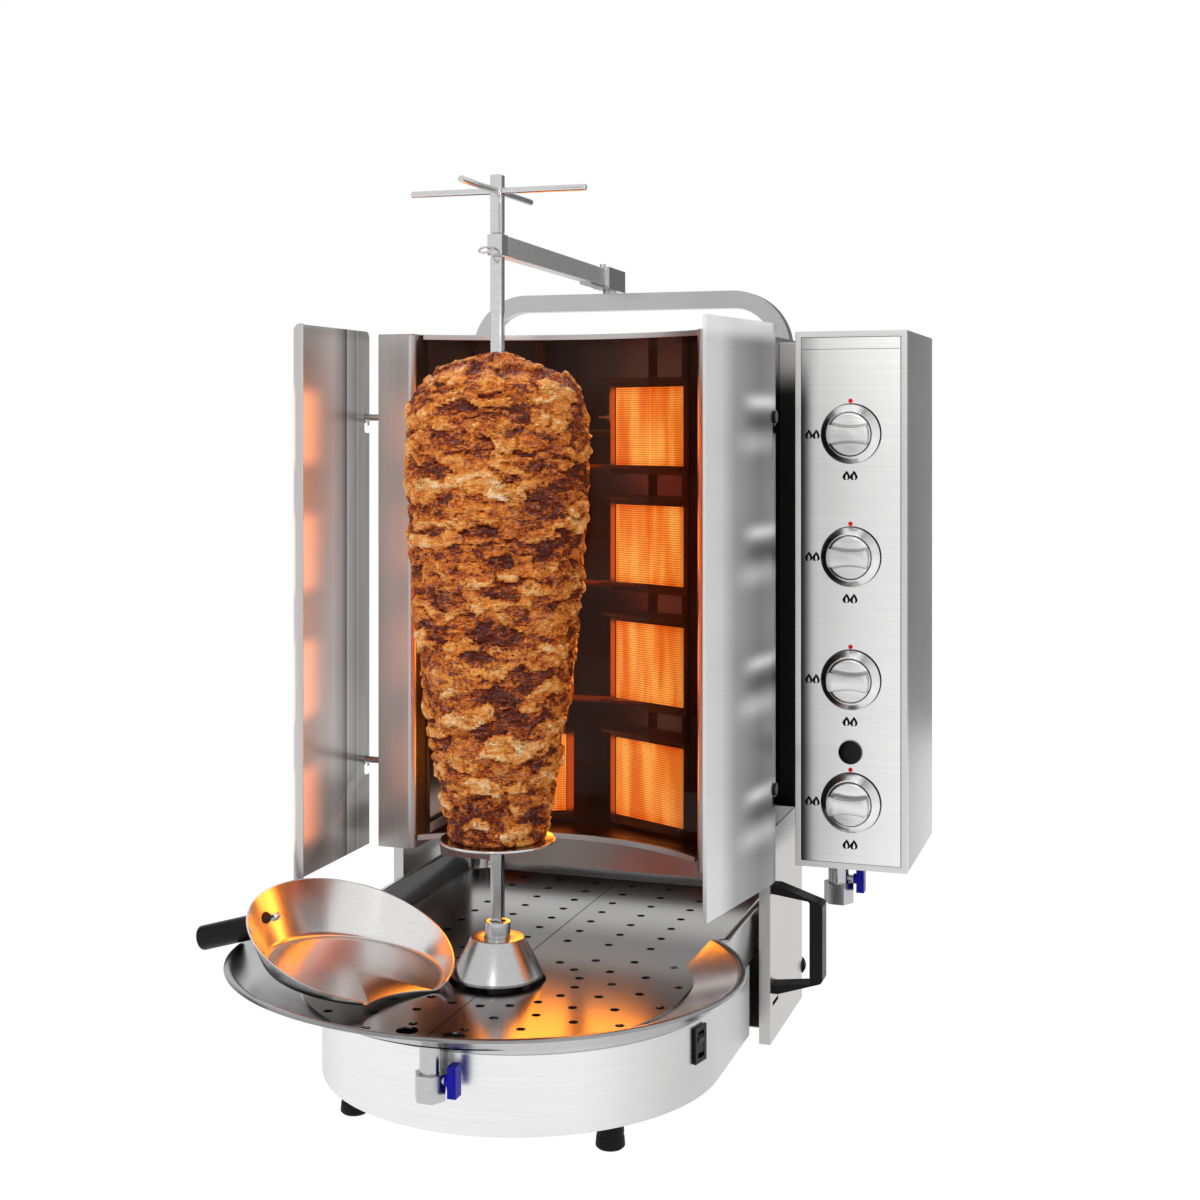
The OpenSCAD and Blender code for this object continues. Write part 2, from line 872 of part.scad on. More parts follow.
module top_cover() {
    color("silver") difference() {
        union() {
            at(tower_top - skin, skin) behind_lip(lip_reach / 2, tower_half, tower_end);
            at(tower_top - lip_t - skin, lip_t + skin) intersection() {
                translate([0, glass_cy]) difference() {
                    circle(glass_r - lip_reach / 2 + skin);
                    circle(glass_r - lip_reach / 2);
                }
                translate([-glass_half, tower_y]) square([2 * glass_half, glass_r]);
            }
        }
        for (s = [0, 1]) mirror([s, 0, 0]) at(tower_top - 2 * skin, 4 * skin)
            translate([leg_x() - bow_w / 2 - move_gap - 2 * over, bow_y - bow_w / 2 - move_gap])
                square([bow_w + 2 * move_gap + 2 * over, bow_w + 2 * move_gap]);
        for (i = [0 : top_slots - 1])
            translate([-top_slot_l / 2, top_slot_y + i * top_slot_pitch, tower_top - 2 * skin])
                cube([top_slot_l, top_slot_w, 4 * skin]);
    }
}

function leg_x() = tower_half - skin - bow_w / 2 - move_gap;

// Sloping sheet from the shelf behind the curved lip down to a straight lower edge
module apron_sheet() {
    half = tower_open - slab;
    top_y = glass_cy + glass_r - lip_reach + skin;
    translate([-half, 0, 0]) rotate([90, 0, 90]) linear_extrude(2 * half)
        polygon([[apron_y, apron_z], [apron_y + sheet, apron_z], [top_y + sheet, lip_shelf_z + skin / 2],
                 [top_y, lip_shelf_z + skin / 2]]);
}

module apron() {
    color("silver") {
        apron_sheet();
        at(lip_shelf_z, skin) difference() {
            translate([-glass_half, tower_y]) square([2 * glass_half, tower_end - tower_y - 2 * skin]);
            translate([0, glass_cy]) circle(glass_r - lip_reach);
        }
        at(lip_z, lip_t) intersection() {
            translate([0, glass_cy]) difference() {
                circle(glass_r - lip_reach + skin);
                circle(glass_r - lip_reach);
            }
            translate([-glass_half, tower_y]) square([2 * glass_half, glass_r]);
        }
    }
}

module curved_glass() {
    height = tower_top - skin - lip_z - move_gap;
    color([0.25, 0.12, 0.08, 0.5]) translate([0, glass_cy, lip_z]) rotate([0, 0, 90 - glass_turn])
        rotate_extrude(angle = 2 * glass_turn) translate([glass_r, 0]) square([glass_t, height]);
}

// Frame of one burner: X runs along the face to the tower's side, Y to its back
module burner_place(z) translate([burner_x, burner_y, z]) rotate([0, 0, -burner_turn]) children();

module burner_housing() {
    w = glow_w + 2 * frame_side;
    h = glow_h + 2 * frame_top;
    difference() {
        translate([-frame_side, 0, -h / 2]) cube([w, housing_d, h]);
        translate([-frame_side + sheet, sheet, -h / 2 + sheet])
            cube([w - 2 * sheet, housing_d - 2 * sheet, h - 2 * sheet]);
        translate([0, -over, -glow_h / 2]) cube([glow_w, sheet + 2 * over, glow_h]);
        translate([glow_w / 2, housing_d - 2 * sheet, -feed_drop]) turned_y(inlet_hole_r, 4 * sheet);
    }
    translate([-frame_side, -hood, h / 2 - skin]) cube([w, hood, skin]);
    for (x = [-frame_side / 2, glow_w + frame_side / 2], s = handed)
        translate([x, -screw_rise, s * glow_h / 3]) turned_y(screw_r, screw_rise + over);
}

module burner_housings_right() {
    color("#8a8a88") for (i = [0 : rows - 1]) burner_place(row_z(i)) burner_housing();
}

module burner_housings_left() {
    color("#8a8a88") mirror([1, 0, 0]) for (i = [0 : rows - 1]) burner_place(row_z(i)) burner_housing();
}

module tile_pair() {
    h = glow_h + frame_top;
    for (i = [0, 1]) translate([-frame_side / 2 + i * (glow_w + frame_side) / 2 + slab / 2, sheet, -h / 2])
        cube([(glow_w + frame_side) / 2 - slab, tile_t, h]);
}

module ceramic_tiles() {
    color("orange") for (i = [0 : rows - 1]) {
        burner_place(row_z(i)) tile_pair();
        mirror([1, 0, 0]) burner_place(row_z(i)) tile_pair();
    }
}

module burner_posts() {
    color("gray") for (s = [0, 1]) mirror([s, 0, 0]) for (x = [post_in, glow_w - post_in - post_w])
        burner_place(lip_z) translate([x, housing_d, 0]) cube([post_w, post_t, tower_top - skin - lip_z]);
}

// A point on the plane of the right burners' faces, seen from above
function on_face(t) = [burner_x + t * cos(burner_turn), burner_y - t * sin(burner_turn)];
function flip(p) = [-p[0], p[1]];

module heat_shelves() {
    outer = on_face(shelf_reach);
    inner = on_face(-frame_side);
    color("#6b6b6b") for (i = [1 : rows - 1])
        at(row_z(i) - glow_h / 2 - shelf_t, shelf_t) polygon([flip(outer), outer, inner, flip(inner)]);
}

module burner_pipes() {
    back = on_face(glow_w / 2) + housing_d * [sin(burner_turn), cos(burner_turn)];
    run = feed_y - back[1];
    half = back[0] + run * tan(burner_turn);
    color("goldenrod") for (i = [0 : rows - 1]) {
        translate([-half - feed_r, feed_y, row_z(i) - feed_drop]) turned_x(feed_r, half + box_mid + 2 * feed_r);
        for (s = [0, 1]) mirror([s, 0, 0]) burner_place(row_z(i) - feed_drop)
            translate([glow_w / 2, housing_d, 0]) turned_y(nozzle_r, run / cos(burner_turn));
        translate([box_mid, valve_y + valve_d, row_z(i) - feed_drop])
            turned_y(nozzle_r, feed_y - valve_y - valve_d);
    }
}

module ignition_electrode() {
    color("ivory") burner_place(row_z(rows - 1) + frame_top) {
        translate([-frame_side - bracket_t, 0, -bracket_w / 2]) cube([bracket_t, bracket_w, 3 * bracket_w]);
        translate([-frame_side - electrode_r - bracket_t, -electrode_r, 0]) {
            translate([0, electrode_r, 0]) turned_y(electrode_r, electrode_l);
            translate([0, -hood, 0]) turned_y(spark_r, hood + electrode_l / 2);
        }
    }
}

module bow_section(inset) square(bow_w - 2 * inset, center = true);

module bow_run(inset) {
    top = bow_top - bow_w / 2;
    for (s = [0, 1]) mirror([s, 0, 0]) {
        translate([leg_x(), bow_y, leg_foot]) linear_extrude(top - bow_bend - leg_foot) bow_section(inset);
        translate([leg_x() - bow_bend, bow_y, top - bow_bend]) rotate([90, 0, 0])
            rotate_extrude(angle = 90) translate([bow_bend, 0]) bow_section(inset);
    }
    translate([-leg_x() + bow_bend, bow_y, top]) rotate([0, 90, 0])
        linear_extrude(2 * (leg_x() - bow_bend)) bow_section(inset);
}

module bow_tube() {
    color("lightgray") {
        difference() {
            bow_run(0);
            bow_run(sheet);
        }
        translate([pivot_x, bow_y, bow_top - sheet]) cylinder(r = pivot_r, h = arm_z - slab - bow_top + sheet);
    }
}

// The arm's own frame: its pivot on the bow, its length running towards the spit
function arm_length() = sqrt(pivot_x * pivot_x + bow_y * bow_y);
function arm_turn() = atan2(pivot_x, bow_y);

module arm_place() translate([pivot_x, bow_y, 0]) rotate([0, 0, -arm_turn()]) children();

module support_arm() {
    start = arm_length() - fork_len / 2;
    color("lightgray") arm_place() translate([-arm_w / 2, -start, arm_z]) difference() {
        cube([arm_w, start + clamp_len / 2 - clamp_t, arm_h]);
        translate([sheet, sheet, sheet]) cube([arm_w - 2 * sheet, start + clamp_len, arm_h - 2 * sheet]);
    }
}

module bearing_fork() {
    color("silver") arm_place() translate([0, -arm_length(), arm_z]) difference() {
        translate([-fork_w / 2, -fork_len / 2, 0]) cube([fork_w, fork_len, arm_h]);
        translate([0, 0, -over]) cylinder(r = fork_slot / 2, h = arm_h + 2 * over);
        translate([-fork_w, -fork_slot / 2, -over]) cube([fork_w, fork_slot, arm_h + 2 * over]);
        translate([lock_x, -fork_len, lock_z]) turned_y(lock_r + run_gap, 2 * fork_len);
    }
}

module pivot_sleeve() {
    color("silver") arm_place() {
        difference() {
            translate([-clamp_w / 2, -clamp_len / 2, arm_z - clamp_t])
                cube([clamp_w, clamp_len, arm_h + 2 * clamp_t]);
            translate([-arm_w / 2 - run_gap, -clamp_len, arm_z - run_gap])
                cube([arm_w + 2 * run_gap, 3 * clamp_len / 2 - clamp_t, arm_h + 2 * run_gap]);
            translate([0, 0, bow_top]) cylinder(r = pivot_r + run_gap, h = arm_h);
        }
        difference() {
            translate([0, 0, bow_top + move_gap])
                cylinder(r = pivot_boss_r, h = arm_z - clamp_t - bow_top - move_gap);
            translate([0, 0, bow_top]) cylinder(r = pivot_r + run_gap, h = arm_h);
        }
        translate([0, -clamp_len / 2 + 2 * bolt_r, arm_z + arm_h + clamp_t]) cylinder(r = bolt_r, h = bolt_r);
        translate([-arm_w / 2, -clamp_len / 2 - tongue, arm_z - clamp_t])
            cube([arm_w, tongue + over, clamp_t - run_gap]);
    }
}

// Short pin with a pull ring, drawn back into the fork's front cheek so that the arm is free
module lock_pin() {
    color("gainsboro") arm_place() translate([lock_x, lock_tip - lock_len - arm_length(), arm_z + lock_z]) {
        turned_y(lock_r, lock_len);
        rotate([pull_turn, 0, 0]) translate([0, -pull_r, 0])
            rotate_extrude($fn = 32) translate([pull_r, 0]) circle(pull_wire, $fn = 16);
    }
}

module drive_coupling() {
    color("silver") difference() {
        union() {
            translate([0, 0, drive_foot + move_gap]) cylinder(r = drive_r, h = boss_top + over - drive_foot);
            translate([0, 0, boss_top + over]) cylinder(r = sleeve_r, h = sleeve_top - boss_top - over);
        }
        at(socket_floor, sleeve_top) square(shaft_w + 2 * run_gap, center = true);
    }
}

module drip_cone() {
    rise = cone_top_z - cone_z;
    color("silver") difference() {
        translate([0, 0, cone_z]) cylinder(r1 = cone_r, r2 = cone_top_r, h = rise);
        translate([0, 0, cone_z - cone_skin])
            cylinder(r1 = cone_r - cone_skin / 2, r2 = cone_top_r - cone_skin, h = rise);
        translate([0, 0, cone_z]) cylinder(r = sleeve_r, h = 2 * rise);
    }
}

module spit_shaft() {
    color("gainsboro") difference() {
        at(socket_floor, shaft_top - socket_floor) square(shaft_w, center = true);
        translate([0, 0, arm_z - journal_gap]) difference() {
            cylinder(r = shaft_w, h = arm_h + 2 * journal_gap);
            translate([0, 0, -over]) cylinder(r = journal_r, h = arm_h + 2 * journal_gap + 2 * over);
        }
        translate([-shaft_w, 0, rod_z]) turned_x(rod_r + run_gap, 2 * shaft_w);
        translate([0, -shaft_w, rod_z]) turned_y(rod_r + run_gap, 2 * shaft_w);
    }
}

module meat_disc() {
    color("silver") at(disc_z, disc_t) difference() {
        circle(disc_r);
        square(shaft_w + 2 * run_gap, center = true);
    }
}

// Radius along the meat's height, from its foot to its crown
function meat_swell(t) = meat_foot_r + (meat_r - meat_foot_r) * sin(90 * min(1, t / swell_share));
function meat_crown(t) = t < crown_share ? 1 : sqrt(max(0, 1 - ((t - crown_share) / crown_span_share) ^ 2));
function slice_edge(i, top) = (top ? -1 : 1) * (slice_wave + slice_swing * sin(slice_turn * i));
function meat_radius(i, top) = meat_swell(i / slices) * meat_crown(i / slices) + slice_edge(i, top);

module doner_meat() {
    step = meat_h / slices;
    outline = [for (i = [0 : slices - 1]) each [
        [meat_radius(i + 0.5, false), meat_z + (i + slice_low_share) * step],
        [meat_radius(i + 1, true), meat_z + (i + slice_high_share) * step]]];
    color("sienna") rotate_extrude() polygon(concat([[meat_bore, meat_z], [meat_foot_r, meat_z]], outline,
        [[meat_bore, meat_z + meat_h]]));
}

module cross_handle() {
    color("lightgray") {
        translate([-rod_len / 2, 0, rod_z]) turned_x(rod_r, rod_len);
        translate([0, -rod_len / 2, rod_z]) turned_y(rod_r, rod_len);
    }
}

// Half of the perforated floor on the right of the seam
module plate_half_outline() {
    intersection() {
        union() {
            circle(plate_half);
            translate([-plate_half, 0]) square([2 * plate_half, plate_end]);
        }
        translate([plate_seam / 2, -plate_half]) square([plate_half, plate_half + plate_end]);
    }
}

// Drain holes in rings round the spit, then in rows behind it
module plate_holes() {
    start = ring_r + row_start_share * row_pitch;
    for (k = [0 : rings - 1], j = [0 : ring_holes]) {
        turn = (j + (k % 2 == 0 ? 0.5 : 1)) * ring_turn - 90;
        r = ring_r + k * ring_step;
        if (r * sin(turn) < start - row_pitch / 2 && turn < ring_end_turn)
            translate([r * cos(turn), r * sin(turn)]) circle(hole_r, $fn = 24);
    }
    for (c = [0 : row_columns - 1], y = [start : row_pitch : plate_end - row_pitch / 2])
        translate([(c + 0.5) * col_pitch, y]) circle(hole_r, $fn = 24);
}

module plate_sheet() {
    at(ledge_z, plate_t) difference() {
        plate_half_outline();
        circle(plate_eye_r);
        plate_holes();
        translate([col_pitch / 2, finger_y]) circle(finger_r);
    }
}

module plate_left() color("silver") mirror([1, 0, 0]) plate_sheet();

module plate_right() color("silver") plate_sheet();

// The pan's floor touches the plate at its right, its handle lies on the dish's rim
module pan_place() translate([pan_x, pan_y, ledge_z + plate_t + pan_seat + pan_r * sin(pan_tilt)])
    rotate([0, pan_tilt, 0]) children();

module pan_bowl() {
    color("silver") pan_place() difference() {
        cylinder(r1 = pan_r, r2 = pan_top_r, h = pan_high);
        translate([0, 0, pan_t]) cylinder(r1 = pan_r - pan_t, r2 = pan_top_r - pan_t, h = pan_high);
        rotate([0, 0, pan_low_turn]) translate([0, 0, pan_h]) rotate([0, pan_slant, 0])
            translate([-2 * pan_top_r, -2 * pan_top_r, 0]) cube([4 * pan_top_r, 4 * pan_top_r, 2 * pan_high]);
        rotate([0, 0, pan_cut_turn]) translate([pan_cut_share * pan_cut_r, 0, -over])
            cylinder(r = pan_cut_r, h = 2 * pan_high);
    }
}

// Round grip square to the pan's wall, so that it slopes down to the dish's rim
module pan_handle() {
    color("#111111") pan_place() difference() {
        translate([-pan_handle_x, 0, pan_handle_h]) rotate([0, -90 - pan_handle_slope, 0])
            translate([0, 0, -pan_handle_in]) cylinder(r = pan_handle_r, h = pan_handle_l + pan_handle_in);
        cylinder(r1 = pan_r + run_gap, r2 = pan_top_r + run_gap, h = pan_high);
        translate([0, 0, -pan_high]) cylinder(r = pan_r + run_gap, h = pan_high + slab);
    }
}

// A wing for the right hand: flange on the studs, turned panel and folded near edge
module wing(x, end, turn, hem) {
    half = stud_r + move_gap;
    along = [sin(turn), cos(turn)];
    across = [cos(turn), -sin(turn)];
    far = -wing_panel * along;
    fold = far + skin * along;
    difference() {
        translate([x, end - wing_flange, 0]) at(wing_z, wing_h) polygon([[0, wing_flange], [0, 0], fold,
            fold - hem * across, far - hem * across, far + skin * across,
            [skin, -skin * tan(turn / 2)], [skin, wing_flange]]);
        for (z = [stud_z, stud_z + stud_gap]) translate([x - over, end - slot_y, z]) {
            turned_x(half, 2 * over + skin);
            translate([0, -half, -wing_lift]) cube([2 * over + skin, 2 * half, wing_lift]);
            translate([0, 0, -wing_lift]) turned_x(half, 2 * over + skin);
            translate([0, 0, -wing_lift - half]) cube([2 * over + skin, slot_y + over, 2 * half]);
        }
    }
}

module wing_left() {
    color("silver") mirror([1, 0, 0]) wing(wing_x_left, wing_end_left, wing_turn_left, hem_left);
}

module wing_right() color("silver") wing(wing_x_right, wing_end_right, wing_turn_right, hem_right);

module control_box() {
    color("silver") difference() {
        union() {
            translate([box_x, box_y, box_z]) cube([box_w, box_d, box_top - box_z]);
            translate([tower_half, channel_y, channel_z])
                cube([box_x - tower_half + over, channel_d, box_top - box_flange - channel_z]);
        }
        translate([box_x + skin, box_y + skin, box_z + skin])
            cube([box_w - 2 * skin, box_d - 2 * skin, box_top - box_z - 2 * skin]);
        translate([box_x + box_flange, box_y - over, box_z + box_flange])
            cube([box_w - 2 * box_flange, skin + 2 * over, box_top - box_z - 2 * box_flange]);
        translate([tower_half - over, channel_y + skin, channel_z + skin])
            cube([box_x - tower_half + 2 * over + skin, channel_d - 2 * skin,
                  box_top - box_flange - channel_z - 2 * skin]);
        translate([rail_x, rail_y, box_z - over]) cylinder(r = gas_pipe_r + run_gap, h = 2 * over + skin);
    }
}

function knob_h(i) = knob_z + i * knob_pitch;

module control_fascia() {
    color("whitesmoke") difference() {
        translate([box_x + box_flange + move_gap, box_y, box_z + box_flange + move_gap])
            cube([box_w - 2 * box_flange - 2 * move_gap, skin, box_top - box_z - 2 * box_flange - 2 * move_gap]);
        for (i = [0 : rows - 1]) translate([box_mid, box_y - over, knob_h(i)])
            turned_y(stem_r + move_gap, skin + 2 * over);
        translate([box_mid, box_y - over, button_z]) turned_y(button_r - sheet + run_gap, skin + 2 * over);
    }
}

module knob_bezels() {
    color("silver") for (i = [0 : rows - 1])
        translate([box_mid, box_y, knob_h(i)]) rotate([90, 0, 0]) difference() {
        union() {
            cylinder(r = bezel_r, h = bezel_rise - bezel_lip / 2);
            translate([0, 0, bezel_rise - bezel_lip / 2])
                cylinder(r1 = bezel_r, r2 = bezel_r - bezel_lip / 2, h = bezel_lip / 2);
        }
        translate([0, 0, -over]) cylinder(r = knob_r + knob_play, h = bezel_rise + 2 * over);
    }
}

module gas_valves() {
    color("goldenrod") difference() {
        for (i = [0 : rows - 1]) translate([box_mid - valve_w / 2, valve_y, knob_h(i) - valve_h / 2])
            cube([valve_w, valve_d, valve_h]);
        for (i = [0 : rows - 1]) translate([box_mid, valve_y - over, knob_h(i)])
            turned_y(stem_r + run_gap, valve_d / 2 + push + move_gap + over);
    }
}

module valve_stem(i) {
    color("silver") translate([box_mid, stem_front, knob_h(i)])
        turned_y(stem_r, valve_y + valve_d / 2 - stem_front);
}

module valve_stem_1() valve_stem(3);

module valve_stem_2() valve_stem(2);

module valve_stem_3() valve_stem(1);

module valve_stem_4() valve_stem(0);

// Knob: a flat disc in its bezel with a rounded bar across it
module knob(i) {
    color("gainsboro") translate([box_mid, knob_back, knob_h(i)]) rotate([90, 0, 0]) difference() {
        union() {
            cylinder(r = knob_r, h = knob_disc);
            intersection() {
                cylinder(r = knob_r - knob_play, h = knob_rise);
                union() {
                    translate([-knob_r, -knob_bar / 2, 0])
                        cube([2 * knob_r, knob_bar, knob_rise - knob_bar / 4]);
                    translate([-knob_r, 0, knob_rise - knob_bar / 2]) turned_x(knob_bar / 2, 2 * knob_r);
                }
            }
        }
        translate([0, 0, -over]) cylinder(r = stem_r + run_gap, h = knob_rise - push + over);
    }
}

module knob_1() knob(3);

module knob_2() knob(2);

module knob_3() knob(1);

module knob_4() knob(0);

// Button with a rounded head that stands off the fascia by its throw
module igniter_button() {
    head = button_rise - button_throw - move_gap;
    color("#080808") translate([box_mid, box_y - button_rise, button_z]) {
        rotate([-90, 0, 0]) cylinder(r1 = button_r - head, r2 = button_r, h = head);
        turned_y(button_r - sheet, button_rise + button_depth);
    }
}

module gas_manifold() {
    middle = valve_y + valve_d / 2;
    color("goldenrod") {
        translate([rail_x, rail_y, rail_foot])
            cylinder(r = rail_r, h = knob_h(rows - 1) + 2 * branch_r - rail_foot);
        for (i = [0 : rows - 1]) translate([rail_x, middle, knob_h(i)]) {
            turned_y(branch_r, rail_y - middle);
            turned_x(branch_r, box_mid - valve_w / 2 - rail_x);
            sphere(branch_r, $fn = 32);
        }
    }
}

module gas_inlet_valve() {
    color("silver") translate([rail_x, rail_y, 0]) difference() {
        union() {
            translate([0, 0, hex_z]) cylinder(r = hex_r, h = hex_h, $fn = 6);
            translate([0, 0, hex_z + hex_h - over])
                cylinder(r = gas_pipe_r, h = rail_foot - hex_z - hex_h + over);
            translate([0, 0, gas_lever_z]) turned_x(lever_stem_r, hex_r + move_gap);
        }
        translate([0, 0, hex_z - over]) cylinder(r = inlet_bore_r, h = inlet_depth + over);
    }
}

module gas_lever() {
    color("#2233bb") translate([rail_x + hex_r + move_gap, rail_y, gas_lever_z]) paddle();
}

placed() base_drum();
placed() base_floor();
placed() rubber_feet();
placed() drip_dish();
placed() side_plate_left();
placed() side_plate_right();
placed() carry_handle_right();
placed() drain_valve();
placed() gear_motor();
placed() switch_frame();
placed() cable_gland();
placed() tower_side_left();
placed() tower_side_right();
placed() back_panel();
placed() top_cover();
placed() apron();
placed() curved_glass();
placed() burner_housings_left();
placed() burner_housings_right();
placed() ceramic_tiles();
placed() burner_posts();
placed() heat_shelves();
placed() gas_manifold();
placed() burner_pipes();
placed() ignition_electrode();
placed() bow_tube();
placed() control_box();
placed() control_fascia();
placed() knob_bezels();
placed() gas_valves();
placed() gas_inlet_valve();
placed() drive_coupling();
placed() drip_cone();
placed() spit_shaft();
placed() meat_disc();
placed() doner_meat();
placed() cross_handle();
placed() support_arm();
placed() bearing_fork();
placed() pivot_sleeve();
placed() lock_pin();
placed() plate_left();
placed() plate_right();
placed() pan_bowl();
placed() pan_handle();
placed() wing_left();
placed() wing_right();
placed() knob_1();
placed() knob_2();
placed() knob_3();
placed() knob_4();
placed() valve_stem_1();
placed() valve_stem_2();
placed() valve_stem_3();
placed() valve_stem_4();
placed() igniter_button();
placed() drain_lever();
placed() gas_lever();
placed() switch_rocker();
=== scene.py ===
import json
import math
import bpy
import numpy as np
from mathutils import Matrix, Vector, noise

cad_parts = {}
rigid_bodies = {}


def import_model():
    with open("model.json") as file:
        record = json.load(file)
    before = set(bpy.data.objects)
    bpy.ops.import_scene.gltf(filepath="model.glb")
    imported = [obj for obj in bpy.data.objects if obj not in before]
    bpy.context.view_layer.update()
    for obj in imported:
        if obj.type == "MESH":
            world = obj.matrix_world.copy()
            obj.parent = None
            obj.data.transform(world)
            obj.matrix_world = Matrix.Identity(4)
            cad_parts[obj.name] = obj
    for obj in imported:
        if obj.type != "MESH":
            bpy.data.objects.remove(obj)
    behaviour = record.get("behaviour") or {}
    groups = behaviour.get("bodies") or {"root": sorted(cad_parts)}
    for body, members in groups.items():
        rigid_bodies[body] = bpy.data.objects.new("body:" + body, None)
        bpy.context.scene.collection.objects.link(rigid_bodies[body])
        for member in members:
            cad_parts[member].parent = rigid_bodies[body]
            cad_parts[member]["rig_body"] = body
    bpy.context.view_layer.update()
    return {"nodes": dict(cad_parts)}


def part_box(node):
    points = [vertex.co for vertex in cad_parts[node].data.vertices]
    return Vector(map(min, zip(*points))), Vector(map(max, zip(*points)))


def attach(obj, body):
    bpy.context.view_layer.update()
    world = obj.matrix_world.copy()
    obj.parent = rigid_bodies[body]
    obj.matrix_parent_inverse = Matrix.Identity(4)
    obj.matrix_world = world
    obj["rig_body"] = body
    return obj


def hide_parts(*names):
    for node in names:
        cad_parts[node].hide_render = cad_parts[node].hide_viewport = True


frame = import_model()
shaftLow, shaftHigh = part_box("spit_shaft")
spitAt = Vector(((shaftLow.x + shaftHigh.x) / 2, (shaftLow.y + shaftHigh.y) / 2, 0))
millimetre = 0.001   # pieces are modelled in millimetres round the spit's axis
handed = (-1, 1)
print("frame loaded")


# Maths on sockets, so that a material reads as a formula
class signal:
    def __init__(self, look, socket):
        self.look = look
        self.socket = socket

    def maths(self, operation, *others, clamp=False):
        values = dict(enumerate((self,) + others))
        return self.look.add("Math", {"operation": operation, "use_clamp": clamp}, values)

    def __add__(self, other):
        return self.maths("ADD", other)

    def __radd__(self, other):
        return self.maths("ADD", other)

    def __mul__(self, other):
        return self.maths("MULTIPLY", other)

    def __rmul__(self, other):
        return self.maths("MULTIPLY", other)

    def __sub__(self, other):
        return self.maths("SUBTRACT", other)

    def __rsub__(self, other):
        return self.look.add("Math", {"operation": "SUBTRACT"}, {0: other, 1: self})

    def __truediv__(self, other):
        return self.maths("DIVIDE", other)

    def __pow__(self, other):
        return self.maths("POWER", other)

    def between(self, low, high):
        settings = {"interpolation_type": "SMOOTHSTEP"}
        return self.look.add("MapRange", settings, {0: self, 1: low, 2: high, 3: 0.0, 4: 1.0})

    def part(self, index):
        return self.look.add("SeparateXYZ", {}, {0: self}, out=index)


class surfaceLook:
    def __init__(self, name):
        self.material = bpy.data.materials.new(name)
        self.material.use_nodes = True
        self.tree = self.material.node_tree
        self.tree.nodes.clear()

    def add(self, kind, settings, values, out=0):
        made = self.tree.nodes.new("ShaderNode" + kind)
        for key, value in settings.items():
            if key == "stops":
                ramp = made.color_ramp
                while len(ramp.elements) < len(value):
                    ramp.elements.new(0.5)
                for element, (place, colour) in zip(ramp.elements, value):
                    element.position = place
                    element.color = (*colour, 1)
            else:
                setattr(made, key, value)
        for key, value in values.items():
            if isinstance(value, signal):
                self.tree.links.new(value.socket, made.inputs[key])
            else:
                made.inputs[key].default_value = value
        return signal(self, made.outputs[out])

    def place(self, scale=(1, 1, 1), turn=(0, 0, 0), shift=(0, 0, 0)):
        where = self.add("TexCoord", {}, {}, out="Object")
        return self.add("Mapping", {}, {0: where, 1: shift, 2: turn, 3: scale})

    # place in millimetres round the spit's axis
    def spot(self):
        return self.place((1000, 1000, 1000), shift=tuple(-1000 * a for a in spitAt))

    def grain(self, where, scale=1.0, detail=2.0, rough=0.5, warp=0.0):
        values = {"Vector": where, "Scale": scale, "Detail": detail, "Roughness": rough, "Distortion": warp}
        return self.add("TexNoise", {}, values)

    def ramp(self, factor, stops):
        return self.add("ValToRGB", {"stops": stops}, {0: factor})

    def mix(self, factor, first, second, kind="MIX"):
        settings = {"data_type": "RGBA", "blend_type": kind, "clamp_factor": True}
        return self.add("Mix", settings, {0: factor, 6: first, 7: second}, out=2)

    def bump(self, height, strength=0.3, distance=0.001):
        return self.add("Bump", {}, {"Height": height, "Strength": strength, "Distance": distance})

    def shade(self, values):
        return self.add("BsdfPrincipled", {}, values)

    def done(self, shader):
        output = self.tree.nodes.new("ShaderNodeOutputMaterial")
        self.tree.links.new(shader.socket, output.inputs["Surface"])
        return self.material


def colour(red, green, blue):
    return (red, green, blue, 1)


# Brushed sheet: fine streaks along one direction, softer cloudy handling marks over them
def brushedSheet(name, tone, rough, streaks, depth=0.12, cloud=0.05, metal=1.0, painted=None, lit=None):
    look = surfaceLook(name)
    fine = look.grain(look.place(tuple(s * 2.4 for s in streaks)), 1, 3, 0.6)
    broad = look.grain(look.place(tuple(s * 0.5 for s in streaks)), 1, 2, 0.5)
    marks = look.grain(look.place((5, 5, 5)), 1, 5, 0.6)
    streak = fine * 0.8 + broad * 0.2
    low = tuple(c * 0.92 for c in tone)
    high = tuple(min(1, c * 1.06) for c in tone)
    tint = look.mix(streak.between(0.25, 0.75), colour(*low), colour(*high))
    # painted paints light and shade into the colour; lit paints a glow in as emission
    if painted:
        tint = painted(look, look.spot(), tint)
    shine = rough + (streak - 0.5) * 0.10 + (marks - 0.5) * (2 * cloud)
    values = {"Base Color": tint, "Metallic": metal, "Roughness": shine, "Normal": look.bump(streak, depth, 0.0002)}
    if lit:
        values.update({"Emission Color": lit(look, look.spot()), "Emission Strength": 1.0})
    return look.done(look.shade(values))


# Soft hump of height one round a middle
def hump(value, middle, width):
    away = (value - middle) * (1 / width)
    return (away * away * -1.0).maths("EXPONENT")


# Painted shade and painted highlight lines across the left wing's fold and, below, the painted glow of the burner rows
# on the left wing
def leftWingPaintedShading(look, spot, tint):
    near = (spot.part(1) - 9) * (1 / 170)
    shade = look.ramp(near, [(0.0, (0.66,) * 3), (0.3, (0.70,) * 3), (0.55, (0.92,) * 3), (0.67, (0.62,) * 3),
                             (0.75, (0.14,) * 3), (0.758, (1.0,) * 3), (0.785, (0.75,) * 3), (0.86, (0.62,) * 3),
                             (0.90, (0.40,) * 3), (0.908, (0.95,) * 3), (0.93, (0.60,) * 3), (1.0, (0.66,) * 3)])
    return look.mix(1.0, tint, shade, "MULTIPLY")
